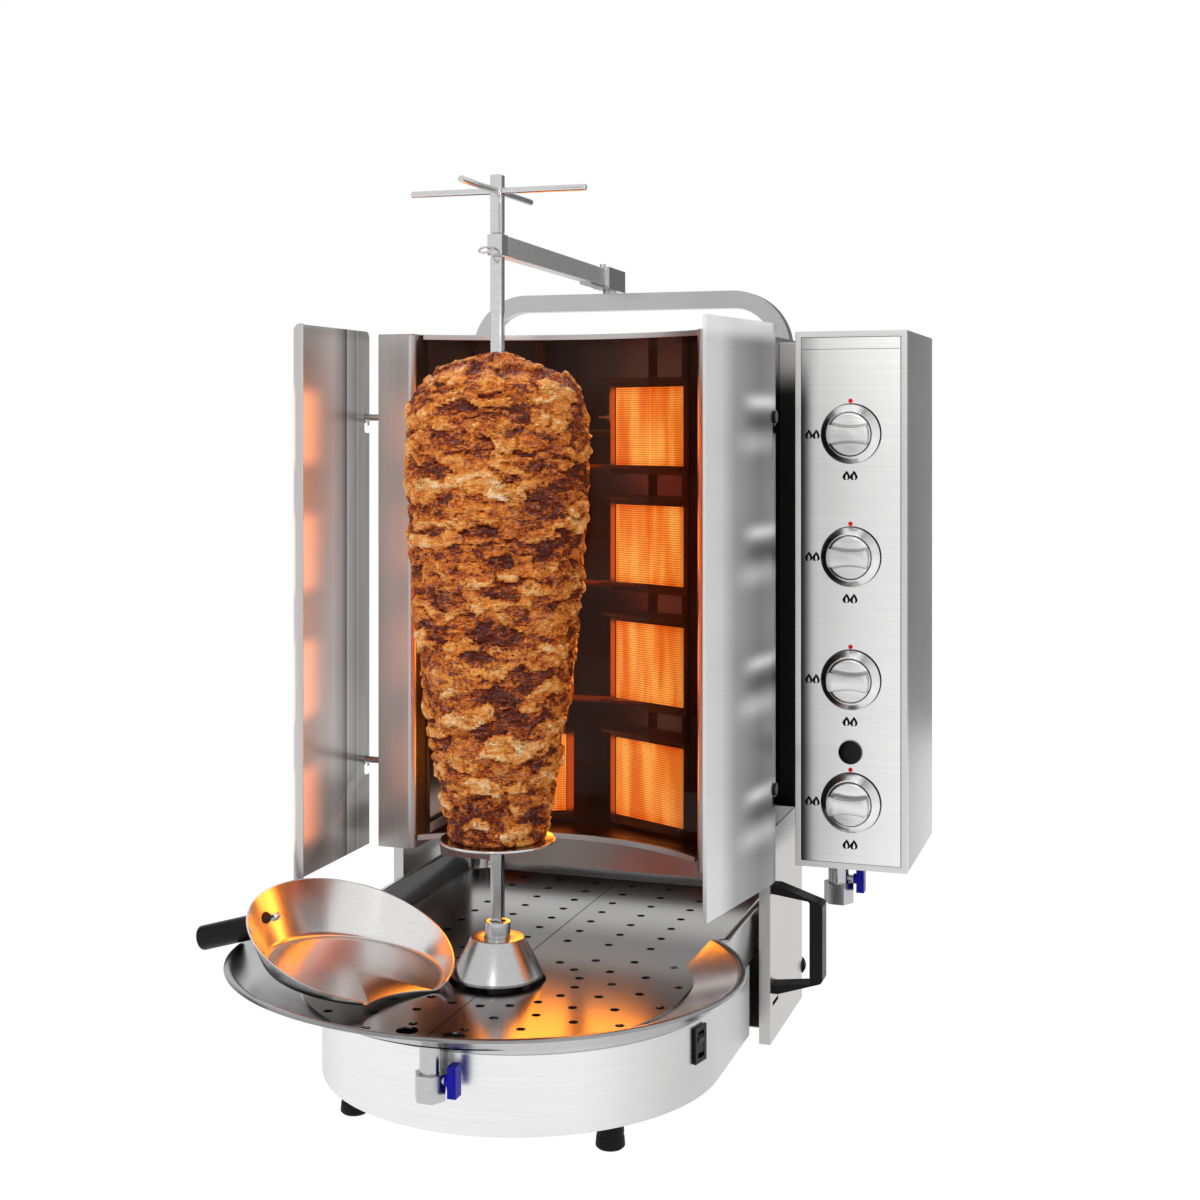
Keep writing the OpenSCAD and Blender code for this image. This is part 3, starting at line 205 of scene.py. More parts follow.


# Painted glow: the burner rows' orange light painted on the left wing's inner face as emission
def leftWingPaintedGlow(look, spot):
    near = (spot.part(1) - 9) * (1 / 170)
    row = ((spot.part(2) - 296.5) * (math.tau / 141)).maths("COSINE").between(-0.75, 0.2)
    low = spot.part(2).between(225, 262) * (1 - spot.part(2).between(742, 790))
    warm = (1 - near.between(0.05, 0.50)) * (row * 0.80 + 0.16) * low
    side = 1 - spot.part(0).between(-243.2, -242.6)
    return look.mix(warm * side, colour(0, 0, 0), colour(1.0, 0.32, 0.14))


# Painted reflections of the knobs and lamps, a painted bright band at the top and painted shade across the right wing
def rightWingPaintedReflections(look, spot, tint):
    near = (spot.part(1) + 3) * (1 / 167)
    shade = look.ramp(near, [(0.0, (1.0,) * 3), (0.2, (0.95,) * 3), (0.42, (0.50,) * 3), (0.8, (0.31,) * 3), (1.0, (0.40,) * 3)])
    offset = overKnob(spot)
    side = near.between(0.45, 0.8)
    bright = hump(offset, 35, 8) * side * 0.9 + hump(offset, -9, 12) * near.between(0.3, 0.7) * 0.45 + spot.part(2).between(806, 824) * 0.75
    dark = hump(offset, 14, 9) * side * 0.75
    toned = look.mix(1.0, tint, shade, "MULTIPLY")
    return look.mix(dark, look.mix(bright, toned, colour(0.92, 0.92, 0.92)), colour(0.07, 0.07, 0.07))


# Height over the nearest knob's middle
def overKnob(spot):
    steps = (spot.part(2) - 219.9) * (1 / 140.2)
    return (steps - steps.maths("FLOOR") - 0.5) * 140.2


# Painted highlight and shade on each knob: a bar with doubled light and dark edge lines, as its curved metal reflects
# light, softer and darker below its middle
def knobPaintedShading(look, spot, tint):
    up = overKnob(spot)
    across = spot.part(0) - 326.25
    edge = up.maths("ABSOLUTE") - across * across * (1 / 135)
    lines = look.ramp((edge - 4) * (1 / 14), [(0.0, (0.86,) * 3), (0.22, (0.74,) * 3), (0.28, (0.16,) * 3), (0.34, (0.9,) * 3),
                                              (0.40, (0.36,) * 3), (0.48, (1.0,) * 3), (1.0, (0.92,) * 3)])
    return look.mix(1.0, tint, look.mix(up.between(-20, 4), look.mix(0.35, lines, colour(0.4, 0.4, 0.4)), lines), "MULTIPLY")


# Painted light and shade round each bezel, set by the angle about the knob's middle: darkest at the lower left, bright
# at the top and right
def bezelPaintedShading(look, spot, tint):
    up = overKnob(spot)
    turned = up.maths("ARCTAN2", spot.part(0) - 324.25) * (1 / math.tau) + 0.5
    around = look.ramp(turned, [(0.0, (0.34,) * 3), (0.06, (0.20,) * 3), (0.14, (0.22,) * 3), (0.22, (0.72,) * 3), (0.34, (0.86,) * 3),
                                (0.48, (0.95,) * 3), (0.58, (0.80,) * 3), (0.66, (0.42,) * 3), (0.70, (0.98,) * 3), (0.80, (0.92,) * 3),
                                (0.86, (0.50,) * 3), (1.0, (0.34,) * 3)])
    return look.mix(1.0, tint, around, "MULTIPLY")


# Painted shade: the tower's face in the slot between tower and control box is painted near black, as it lies in the
# dark
def towerPaintedShade(look, spot, tint):
    dark = spot.part(0).between(214.6, 215.8) * (1 - spot.part(2).between(756, 800)) * spot.part(2).between(228, 236)
    return look.mix(dark * 0.97, tint, colour(0.012, 0.012, 0.012))


# Painted glow: the fold beside the glass is painted with emission where each burner row lights it
def towerPaintedGlow(look, spot):
    steps = (spot.part(2) - 226) * (1 / 141)
    row = ((steps - steps.maths("FLOOR") - 0.5) * 141).maths("ABSOLUTE")
    fold = (1 - spot.part(0).maths("ABSOLUTE").between(171.6, 172.6)) * (1 - row.between(30, 62))
    return look.mix(fold, colour(0, 0, 0), colour(1.0, 0.15, 0.012))


# Painted glow: the edge of each housing beside the tiles is painted glowing with emission, the rest only faintly
def housingPaintedGlow(look, spot):
    steps = (spot.part(2) - 226) * (1 / 141)
    row = ((steps - steps.maths("FLOOR") - 0.5) * 141).maths("ABSOLUTE")
    along = (spot.part(0).maths("ABSOLUTE") - 31.5) * 0.888 - (spot.part(1) - 306) * 0.460
    front = 1 - (spot.part(1) - 306 + (spot.part(0).maths("ABSOLUTE") - 31.5) * 0.518).between(2, 5)
    strip = (1 - along.between(-1.2, -0.4)) * (1 - row.between(40, 50)) * front
    return look.mix(strip, colour(0.022, 0.005, 0.002), colour(1.1, 0.17, 0.015))


# Painted shade: the channel beside the box painted near black in its lower part, and the box's side painted bright at
# its front edge, darker just behind it and lighter towards the rear
def boxPaintedShading(look, spot, tint):
    channelShade = (1 - spot.part(0).between(258.4, 259.6)) * (1 - spot.part(2).between(756, 800))
    tint = look.mix(channelShade * 0.97, tint, colour(0.012, 0.012, 0.012))
    deep = look.ramp((spot.part(1) - 271) * (1 / 209), [(0.0, (1.0,) * 3), (0.04, (0.98,) * 3), (0.07, (0.66,) * 3), (0.6, (0.82,) * 3), (1.0, (0.96,) * 3)])
    return look.mix(1.0, tint, deep, "MULTIPLY")


# Painted shade: the fascia darker towards its left edge, with a near-black strip down that edge below the top as a
# painted dark reflection
def fasciaPaintedShading(look, spot, tint):
    across = look.ramp((spot.part(0) - 266) * (1 / 116), [(0.0, (0.40,) * 3), (0.08, (0.55,) * 3), (0.20, (0.84,) * 3),
                                                      (0.5, (0.94,) * 3), (1.0, (1.0,) * 3)])
    strip = (1 - spot.part(0).between(268, 283)) * (1 - spot.part(2).between(740, 812))
    return look.mix(strip * 0.94, look.mix(1.0, tint, across, "MULTIPLY"), colour(0.01, 0.01, 0.01))


# Painted shade on the lip outside the dish's rim line, in front
def dishPaintedShade(look, spot, tint):
    across = spot.part(0) * (1 / 270)
    along = (spot.part(1) + 38) * (1 / 232)
    away = (across * across + along * along).maths("SQRT")
    lip = away.between(0.984, 0.990) * (1 - spot.part(1).between(80, 180)) * (1 - across.maths("ABSOLUTE") * 0.55)
    return look.mix(lip * 0.55, tint, colour(0.10, 0.10, 0.10))


# Painted shade: the drum darker towards both ends
def drumPaintedShade(look, spot, tint):
    out = spot.part(0).maths("ABSOLUTE").between(120, 224)
    return look.mix(out * 0.6, tint, colour(0.34, 0.34, 0.34))


def moulded(name, tone, rough, pebble=0.2, size=900):
    look = surfaceLook(name)
    pebbles = look.grain(look.place((size,) * 3), 1, 3, 0.6)
    dust = look.grain(look.place((30,) * 3), 1, 4, 0.6)
    tint = look.mix(dust.between(0.45, 0.8), colour(*tone), colour(*(c * 1.5 + 0.002 for c in tone)))
    return look.done(look.shade({
        "Base Color": tint, "Roughness": rough + (dust - 0.5) * 0.2, "Specular IOR Level": 0.16,
        "Normal": look.bump(pebbles, pebble, 0.0003)}))


levelStreaks = (4, 4, 900)      # brushing that runs level round a wall
uprightStreaks = (700, 700, 4)
floorStreaks = (5, 700, 5)
looks = {
    "knob": brushedSheet("knobSteel", (0.88, 0.88, 0.88), 0.24, levelStreaks, 0.02, painted=knobPaintedShading),
    "bezel": brushedSheet("bezelSteel", (0.86, 0.86, 0.86), 0.24, (40, 40, 40), 0.02, painted=bezelPaintedShading),
    "towerRight": brushedSheet("towerSteel", (0.42, 0.41, 0.405), 0.30, uprightStreaks, 0.05, painted=towerPaintedShade,
                               lit=towerPaintedGlow),
    "drum": brushedSheet("drumSteel", (0.82, 0.82, 0.82), 0.30, levelStreaks, 0.04, painted=drumPaintedShade),
    "arm": brushedSheet("armSteel", (0.86, 0.86, 0.86), 0.26, (300, 300, 300), 0.03),
    "panel": brushedSheet("panelSteel", (0.50, 0.49, 0.485), 0.30, uprightStreaks, 0.05),
    "box": brushedSheet("boxSteel", (0.66, 0.66, 0.66), 0.34, levelStreaks, 0.05, painted=boxPaintedShading),
    "wingLeft": brushedSheet("leftWingSteel", (0.84, 0.83, 0.82), 0.32, uprightStreaks, 0.04, painted=leftWingPaintedShading,
                             lit=leftWingPaintedGlow),
    "wingRight": brushedSheet("rightWingSteel", (0.66, 0.66, 0.66), 0.32, levelStreaks, 0.04, painted=rightWingPaintedReflections),
    "fascia": brushedSheet("fasciaSteel", (0.90, 0.90, 0.90), 0.36, levelStreaks, 0.05, painted=fasciaPaintedShading),
    "dish": brushedSheet("dishSteel", (0.44, 0.44, 0.445), 0.20, (60, 60, 60), 0.03, painted=dishPaintedShade),
    "floor": brushedSheet("floorSteel", (0.36, 0.355, 0.35), 0.19, floorStreaks, 0.04),
    "pan": brushedSheet("panSteel", (0.74, 0.735, 0.73), 0.22, (120, 120, 900), 0.03),
    "bright": brushedSheet("brightSteel", (0.62, 0.62, 0.625), 0.16, (40, 40, 500), 0.02),
    "tube": brushedSheet("tubeSteel", (0.50, 0.50, 0.505), 0.24, (300, 300, 300), 0.03),
    # heated steel also carries the housings' painted glow
    "heated": brushedSheet("heatedSteel", (0.16, 0.115, 0.09), 0.42, (90, 90, 40), 0.10, 0.12, lit=housingPaintedGlow),
    "brass": brushedSheet("wornBrass", (0.62, 0.45, 0.20), 0.32, (200, 200, 200), 0.05),
    "motor": brushedSheet("motorIron", (0.13, 0.13, 0.14), 0.5, (120, 120, 120), 0.2, 0.1, 0.4),
    "plastic": moulded("blackPlastic", (0.004, 0.004, 0.0045), 0.36),
    "rubber": moulded("footRubber", (0.006, 0.006, 0.006), 0.62, 0.35, 500),
    "blue": moulded("leverBlue", (0.001, 0.001, 0.36), 0.34, 0.1, 300),
    "ceramic": moulded("electrodeCeramic", (0.72, 0.68, 0.60), 0.4),
    "red": moulded("printRed", (0.75, 0.004, 0.004), 0.45, 0.05),
    # the black look serves the printed marks and the painted shadows behind the bezels
    "black": moulded("blackPrintAndPaintedShadow", (0.008, 0.008, 0.008), 0.5, 0.05),
}


def glowLook():
    look = surfaceLook("glowingTile")
    place = look.add("UVMap", {"uv_map": "face"}, {})
    across = place.part(0)
    up = place.part(1)
    pitch = 3.6
    first = (across * (math.tau / pitch) + up * (math.tau / (pitch * 1.5))).maths("SINE")
    second = (across * (math.tau / pitch) - up * (math.tau / (pitch * 1.5))).maths("SINE")
    holes = (first * second).between(-0.45, 0.75)
    bands = look.grain(look.add("Mapping", {}, {0: place, 3: (0.045, 0.006, 1)}), 1, 2, 0.5)
    heat = bands.between(0.34, 0.66) * 0.75 + 0.25
    edge = (up.maths("ABSOLUTE") - 36).maths("MULTIPLY", 0.08, clamp=True)
    heat = heat - edge * 0.35
    tint = look.ramp(heat, [(0.0, (1.0, 0.19, 0.014)), (0.45, (1.0, 0.35, 0.045)), (1.0, (1.0, 0.56, 0.12))])
    power = (heat * 0.4 + 0.80) * (holes * 0.95 + 0.28)
    glow = look.add("Mix", {"data_type": "RGBA", "blend_type": "MULTIPLY"},
                    {0: 1.0, 6: tint, 7: look.add("CombineXYZ", {}, {0: power, 1: power, 2: power})}, out=2)
    return look.done(look.shade({
        "Base Color": colour(0.5, 0.16, 0.04), "Roughness": 0.85,
        "Emission Color": glow, "Emission Strength": 2.6,
        "Normal": look.bump(holes, 0.5, 0.0005)}))


def glassLook():
    look = surfaceLook("darkGlass")
    smear = look.grain(look.place((14, 14, 5)), 1, 4, 0.6)
    clear = look.add("BsdfTransparent", {}, {0: colour(0.74, 0.62, 0.56)})
    sheen = look.shade({"Base Color": colour(0.02, 0.008, 0.006), "Roughness": 0.03 + smear.between(0.5, 0.9) * 0.12,
                        "Coat Weight": 0.3, "IOR": 1.5})
    facing = look.add("LayerWeight", {}, {0: 0.28}, out=0)
    return look.done(look.add("MixShader", {}, {0: facing * 0.8 + 0.08, 1: clear, 2: sheen}))


def meatLook():
    look = surfaceLook("roastMeat")
    tone = look.add("Attribute", {"attribute_name": "meatTone"}, {}, out="Color")
    chunk = tone.part(0)
    crease = tone.part(1)
    rise = tone.part(2)
    where = look.place((1, 1, 2.6))
    fibre = look.grain(where, 230, 7, 0.72, 0.8)
    patch = look.grain(where, 38, 5, 0.62, 0.4).between(0.34, 0.66)
    speck = look.grain(look.place((1, 1, 1.6)), 520, 4, 0.7, 0.3)
    burnt = look.grain(look.place((1, 1, 2.0)), 48, 4, 0.6, 0.5).between(0.50, 0.64)
    # the raised parts are painted lighter and the sunken parts darker: painted shade
    mood = chunk * 0.40 + patch * 0.26 + fibre.between(0.37, 0.63) * 0.42 + (rise - 0.5) * 0.34 + 0.01
    roast = look.ramp(mood, [
        (0.04, (0.09, 0.010, 0.002)), (0.16, (0.30, 0.045, 0.005)), (0.30, (0.58, 0.135, 0.010)),
        (0.48, (0.74, 0.235, 0.028)), (0.66, (0.84, 0.39, 0.090)), (0.82, (0.88, 0.55, 0.26)), (1.0, (0.94, 0.72, 0.50))])
    # dark along the creases between slices, char and painted shade there, and in burnt patches and specks
    charAndCreaseShade = (1 - crease.between(0.0, 0.11)) * 0.8 + (1 - fibre.between(0.40, 0.52)) * burnt * 0.95
    charAndCreaseShade = charAndCreaseShade + (1 - speck.between(0.30, 0.37)) * 0.55
    roasted = look.mix(charAndCreaseShade.maths("MINIMUM", 0.92), roast, colour(0.035, 0.006, 0.003))
    wet = look.grain(where, 150, 5, 0.65).between(0.47, 0.60)
    height = fibre * 0.75 + speck * 0.3 + patch * 0.12
    return look.done(look.shade({
        "Base Color": roasted, "Roughness": 0.60 - wet * 0.34, "Specular IOR Level": 0.2,
        "Subsurface Weight": 0.04, "Subsurface Radius": (0.006, 0.002, 0.001), "Subsurface Scale": 0.4,
        "Coat Weight": wet * 0.85, "Coat Roughness": 0.17,
        "Normal": look.bump(height, 0.9, 0.0026)}))


looks["glow"] = glowLook()
looks["glass"] = glassLook()
looks["meat"] = meatLook()
print("materials made")


# Modelling helpers: everything is deselected before an operator runs
def alone(piece):
    bpy.ops.object.select_all(action="DESELECT")
    piece.select_set(True)
    bpy.context.view_layer.objects.active = piece
    return piece


def named(name):
    piece = bpy.context.object
    piece.name = name
    piece.data.name = name
    return piece


def block(name, low, high):
    bpy.ops.object.select_all(action="DESELECT")
    middle = [(a + b) / 2 for a, b in zip(low, high)]
    bpy.ops.mesh.primitive_cube_add(size=1, location=middle, scale=[b - a for a, b in zip(low, high)])
    piece = alone(named(name))
    bpy.ops.object.transform_apply(location=True, rotation=True, scale=True)
    return piece


def rod(name, start, end, radius, sides=48, endRadius=None):
    bpy.ops.object.select_all(action="DESELECT")
    run = Vector(end) - Vector(start)
    turn = run.to_track_quat("Z", "Y").to_euler()
    bpy.ops.mesh.primitive_cone_add(
        vertices=sides, radius1=radius, radius2=radius if endRadius is None else endRadius,
        depth=run.length, location=(Vector(start) + Vector(end)) / 2, rotation=turn)
    piece = alone(named(name))
    bpy.ops.object.transform_apply(location=True, rotation=True, scale=True)
    return piece


def modified(piece, kind, settings):
    alone(piece)
    modifier = piece.modifiers.new(kind.title(), kind)
    for key, value in settings.items():
        setattr(modifier, key, value)
    bpy.ops.object.modifier_apply(modifier=modifier.name)
    return piece


def rounded(piece, width, segments=3, angle=30):
    return modified(piece, "BEVEL", {
        "width": width, "segments": segments, "limit_method": "ANGLE",
        "angle_limit": math.radians(angle), "use_clamp_overlap": True})


def cutBy(piece, *cutters):
    for cutter in cutters:
        modified(piece, "BOOLEAN", {"object": cutter, "operation": "DIFFERENCE", "solver": "EXACT"})
        bpy.data.objects.remove(cutter)
    return piece


def editAll(piece, *steps):
    alone(piece)
    bpy.ops.object.mode_set(mode="EDIT")
    bpy.ops.mesh.select_all(action="SELECT")
    for step, settings in steps:
        step(**settings)
    bpy.ops.object.mode_set(mode="OBJECT")
    return piece


def outward(piece, gap=0.001):
    return editAll(piece, (bpy.ops.mesh.remove_doubles, {"threshold": gap}),
                   (bpy.ops.mesh.normals_make_consistent, {"inside": False}))


def fromPoints(name, points, edges=(), faces=()):
    mesh = bpy.data.meshes.new(name)
    mesh.from_pydata([tuple(p) for p in points], edges, faces)
    piece = bpy.data.objects.new(name, mesh)
    bpy.context.scene.collection.objects.link(piece)
    return piece


# Corners of an outline eased with small curves
def eased(outline, radius, steps=4, closed=True):
    count = len(outline)
    curve = []
    for i, corner in enumerate(outline):
        here = np.array(corner, float)
        if not closed and i in (0, count - 1):
            curve.append(tuple(here))
            continue
        before = np.array(outline[i - 1], float) - here
        after = np.array(outline[(i + 1) % count], float) - here
        reach = min(radius, 0.45 * np.linalg.norm(before), 0.45 * np.linalg.norm(after))
        start = here + before / np.linalg.norm(before) * reach
        end = here + after / np.linalg.norm(after) * reach
        for k in range(steps + 1):
            t = k / steps
            curve.append(tuple((1 - t) ** 2 * start + 2 * t * (1 - t) * here + t * t * end))
    return curve


def spun(name, outline, sides=128, closed=True):
    count = len(outline)
    edges = [(i, (i + 1) % count) for i in range(count if closed else count - 1)]
    piece = fromPoints(name, [(r, 0, z) for r, z in outline], edges)
    modified(piece, "SCREW", {
        "steps": sides, "render_steps": sides, "use_merge_vertices": True, "merge_threshold": 0.001})
    return outward(piece)


def drawn(name, outline, depth):
    piece = fromPoints(name, [(x, y, 0) for x, y in outline], faces=[tuple(range(len(outline)))])
    editAll(piece, (bpy.ops.mesh.extrude_region_move, {"TRANSFORM_OT_translate": {"value": (0, 0, depth)}}))
    return outward(piece)


def bent(name, path, radius, sides=12, closed=False):
    curve = bpy.data.curves.new(name, "CURVE")
    curve.dimensions = "3D"
    curve.bevel_depth = radius
    curve.bevel_resolution = max(1, sides // 4)
    curve.use_fill_caps = True
    line = curve.splines.new("POLY")
    line.points.add(len(path) - 1)
    for point, place in zip(line.points, path):
        point.co = (*place, 1)
    line.use_cyclic_u = closed
    piece = bpy.data.objects.new(name, curve)
    bpy.context.scene.collection.objects.link(piece)
    alone(piece)
    bpy.ops.object.convert(target="MESH")
    return bpy.context.object


def moved(piece, shift=(0, 0, 0), turn=(0, 0, 0), scale=(1, 1, 1)):
    turned = Matrix.Rotation(math.radians(turn[2]), 4, "Z") @ Matrix.Rotation(math.radians(turn[1]), 4, "Y") \
        @ Matrix.Rotation(math.radians(turn[0]), 4, "X")
    sized = Matrix.Diagonal((*scale, 1))
    piece.data.transform(Matrix.Translation(shift) @ turned @ sized)
    if scale[0] * scale[1] * scale[2] < 0:
        piece.data.flip_normals()
    return piece


def copyOf(piece, name, shift=(0, 0, 0), turn=(0, 0, 0), scale=(1, 1, 1)):
    copy = piece.copy()
    copy.data = piece.data.copy()
    copy.name = name
    bpy.context.scene.collection.objects.link(copy)
    return moved(copy, shift, turn, scale)


def joined(name, parts):
    bpy.ops.object.select_all(action="DESELECT")
    for part in parts:
        part.select_set(True)
    bpy.context.view_layer.objects.active = parts[0]
    bpy.ops.object.join()
    return named(name)


def placed(piece, body, look, stands=(), angle=32):
    piece.data.transform(Matrix.Translation(spitAt) @ Matrix.Scale(millimetre, 4))
    return dressed(piece, body, look, stands, angle)


def dressed(piece, body, look, stands=(), angle=32):
    alone(piece)
    bpy.ops.object.shade_smooth_by_angle(angle=math.radians(angle))
    piece.data.materials.clear()
    piece.data.materials.append(looks[look])
    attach(piece, body)
    if stands:
        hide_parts(*stands)
    return piece


# A CAD piece's own shape with its sharp edges eased
def easedCopy(node, name, look, width, segments=2, angle=32):
    source = frame["nodes"][node]
    piece = fromPoints(name, [v.co for v in source.data.vertices],
                       faces=[tuple(p.vertices) for p in source.data.polygons])
    editAll(piece, (bpy.ops.mesh.remove_doubles, {"threshold": 1e-5}),
            (bpy.ops.mesh.dissolve_limited, {"angle_limit": math.radians(0.6)}))
    rounded(piece, width * millimetre, segments, angle)
    dressed(piece, source["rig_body"], look, (node,), angle)
    return modified(piece, "WEIGHTED_NORMAL", {"keep_sharp": True, "weight": 80})


def camera():
    view = {"place": (0.64798, -1.828, 0.721), "turn": 18.4, "lens": 52.5, "shift": -0.1458}
    data = bpy.data.cameras.new("camera")
    data.lens = view["lens"]
    data.sensor_width = 36
    data.shift_y = view["shift"]
    data.clip_start = 0.05
    holder = bpy.data.objects.new("camera", data)
    holder.location = view["place"]
    holder.rotation_euler = (math.radians(90), 0, math.radians(view["turn"]))
    bpy.context.scene.collection.objects.link(holder)
    bpy.context.scene.camera = holder
    print("camera placed")


camera()

def softMax(first, second, blend):
    # the greater of two reaches, with a rounded meeting
    gap = first - second
    return 0.5 * (first + second + math.sqrt(gap * gap + blend * blend)) - 0.5 * blend * math.exp(-abs(gap) / blend)


# Distance from the dish's middle to the edge of a round front joined to a straight neck
def outlineReach(angle, half, depth, middle, neck, end, corner, centre=110.0, blend=5.0):
    dx, dy = math.sin(angle), -math.cos(angle)
    oy = centre - middle
    a = (dx / half) ** 2 + (dy / depth) ** 2
    b = 2 * oy * dy / depth ** 2
    c = (oy / depth) ** 2 - 1
    root = b * b - 4 * a * c
    front = (-b + math.sqrt(root)) / (2 * a) if root > 0 and c < 0 else 0.0
    side = neck / abs(dx) if abs(dx) > 1e-6 else 1e9
    back = (end - centre) / dy if dy > 1e-6 else 1e9
    reach = min(side, back) if dy > -0.02 else 0.0
    if dy > 0:
        px, py = abs(dx) * reach, centre + dy * reach
        if px > neck - corner and py > end - corner:
            cx, cy = neck - corner, end - corner - centre
            along = abs(dx) * cx + dy * cy
            reach = along + math.sqrt(max(0.0, along ** 2 - cx ** 2 - cy ** 2 + corner ** 2))
    if front <= 0:
        return reach
    if reach <= 0:
        return front
    return softMax(front, reach, blend)


def drumAndDish():
    dish = {"stations": 240, "centre": 110.0, "rim": 170.0, "ledge": 137.0, "tray": 114.0}
    # half width, half depth, middle, neck's half width, neck's end, corner, height
    rings = [
        (188, 188, 52, 190, 418, 24, 114.0), (191, 191, 40, 191, 420, 25, 117.5), (192, 192, 0, 192, 420, 26, 136.0),
        (193, 193, 0, 193, 421, 27, 137.0), (203, 203, 0, 203, 427, 31, 137.0), (205.5, 205, 0, 205, 428, 32, 138.2),
        (262, 224, -37, 213.5, 430, 33, 168.2), (264.5, 226.5, -38, 214.6, 431.4, 33, 169.6), (266.5, 228.5, -38, 216, 433, 34, 170.0),
        (270.2, 232.2, -38, 220.2, 437, 34, 169.9), (271.6, 233.6, -38, 221.6, 438.6, 34, 168.9),
        (272, 234, -38, 222, 439, 34, 167.4), (271.0, 233.0, -38, 221.2, 438, 34, 166.6), (267, 229, -38, 218, 435, 34, 166.2),
        (220, 220, 74, 218, 434, 34, 113.0), (218, 218, 78, 216, 433, 34, 110.0),
        (215, 215, 78, 213, 430, 32, 110.0), (206, 206, 20, 206, 428, 31, 133.0), (194.5, 194.5, 0, 194.5, 423, 27, 132.5),
        (190.5, 190.5, 52, 192.5, 421, 25, 112.0)]
    count = dish["stations"]
    points = []
    for half, depth, middle, neck, end, corner, z in rings:
        for i in range(count):
            angle = math.tau * i / count
            reach = outlineReach(angle, half, depth, middle, neck, end, corner)
            points.append((math.sin(angle) * reach, dish["centre"] - math.cos(angle) * reach, z))
    faces = []
    for k in range(len(rings) - 1):
        for i in range(count):
            j = (i + 1) % count
            faces.append((k * count + i, k * count + j, (k + 1) * count + j, (k + 1) * count + i))
    last = (len(rings) - 1) * count
    points += [(0, dish["centre"], 114.0), (0, dish["centre"], 112.0)]
    for i in range(count):
        j = (i + 1) % count
        faces.append((len(points) - 2, j, i))
        faces.append((len(points) - 1, last + i, last + j))
    bowl = fromPoints("dishBowl", points, faces=faces)
    outward(bowl, 0.01)
    boss = spun("dishBoss", eased([(9, 112), (22, 112), (22, 153), (9, 153)], 1.5))
    bowl = joined("dripDish", [bowl, boss])
    placed(bowl, "base", "dish", ("drip_dish",), 38)
    easedCopy("base_drum", "baseDrum", "drum", 0.8)
    easedCopy("base_floor", "baseFloor", "panel", 0.3)
    print("dish and drum made")


# Meat pan: a bowl with a slanting rim and a round cut, tilted so that its grip lies on the dish
def meatPan():
    pan = {"x": -134, "y": -66, "floor": 93, "flare": 0.6, "high": 62, "middle": 27, "slant": 12.7, "low": -34,
           "cut": 114, "cutAt": -26, "tilt": 9, "wall": 1.5, "gripAt": 23.4, "gripSlope": 25, "grip": 82}
    rise = 138.9 + pan["floor"] * math.sin(math.radians(pan["tilt"]))
    top = pan["floor"] + pan["flare"] * pan["high"]
    outer = eased([(0, 0), (pan["floor"], 0), (top, pan["high"])], 7, 8, False)
    inner = eased([(0, pan["wall"]), (pan["floor"] - 0.9, pan["wall"]), (top - pan["wall"] * 1.1, pan["high"])], 6, 8, False)
    bowl = spun("bowl", outer + inner[::-1], 192, False)
    slant = block("slant", (-300, -300, 0), (300, 300, 120))
    moved(slant, turn=(0, pan["slant"], 0))
    moved(slant, (0, 0, pan["middle"]), (0, 0, pan["low"]))
    cutTurn = math.radians(pan["cutAt"])
    reach = 1.6 * pan["cut"]
    cutter = rod("cut", (reach * math.cos(cutTurn), reach * math.sin(cutTurn), -20),
                 (reach * math.cos(cutTurn), reach * math.sin(cutTurn), 150), pan["cut"], 256)
    cutBy(bowl, slant, cutter)
    rounded(bowl, 0.45, 2, 50)
    at = pan["floor"] + pan["flare"] * pan["gripAt"]
    grip = spun("panGrip", eased([(0, -1.5), (12.2, -1.5), (13, 1), (13, pan["grip"] - 1), (0, pan["grip"])], 2.4, 5, False), 64, False)
    moved(grip, (-at, 0, pan["gripAt"]), (0, -90 - pan["gripSlope"], 0))
    rivet = spun("rivet", eased([(0, -3), (5.2, -3), (5.2, 1.0), (4.0, 2.4), (0, 3.0)], 1.0, 4, False), 40, False)
    moved(rivet, turn=(0, 121, 0))
    moved(rivet, (-at + 1.6, 0, pan["gripAt"] + 4))
    moved(rivet, turn=(0, 0, -8))
    for piece in (bowl, grip, rivet):
        moved(piece, turn=(0, pan["tilt"], 0))
        moved(piece, (pan["x"], pan["y"], rise))
    placed(joined("panBowl", [bowl, rivet]), "pan", "pan", ("pan_bowl",), 30)
    placed(grip, "pan", "plastic", ("pan_handle",), 40)
    print("meat pan made")


def feet():
    foot = {"x": 141, "front": -50, "rear": 398}
    outline = eased([(0, 0), (12.5, 0), (15, 2.5), (14.2, 12), (13.6, 13), (13.6, 15), (14.0, 16), (13, 30), (0, 30)], 0.8, 3)
    first = spun("foot", outline, 64)
    parts = [copyOf(first, f"foot{x}{y}", (s * foot["x"], foot[y], 0)) for x, s in enumerate(handed) for y in ("front", "rear")]
    bpy.data.objects.remove(first)
    placed(joined("rubberFeet", parts), "base", "rubber", ("rubber_feet",))
    print("feet made")


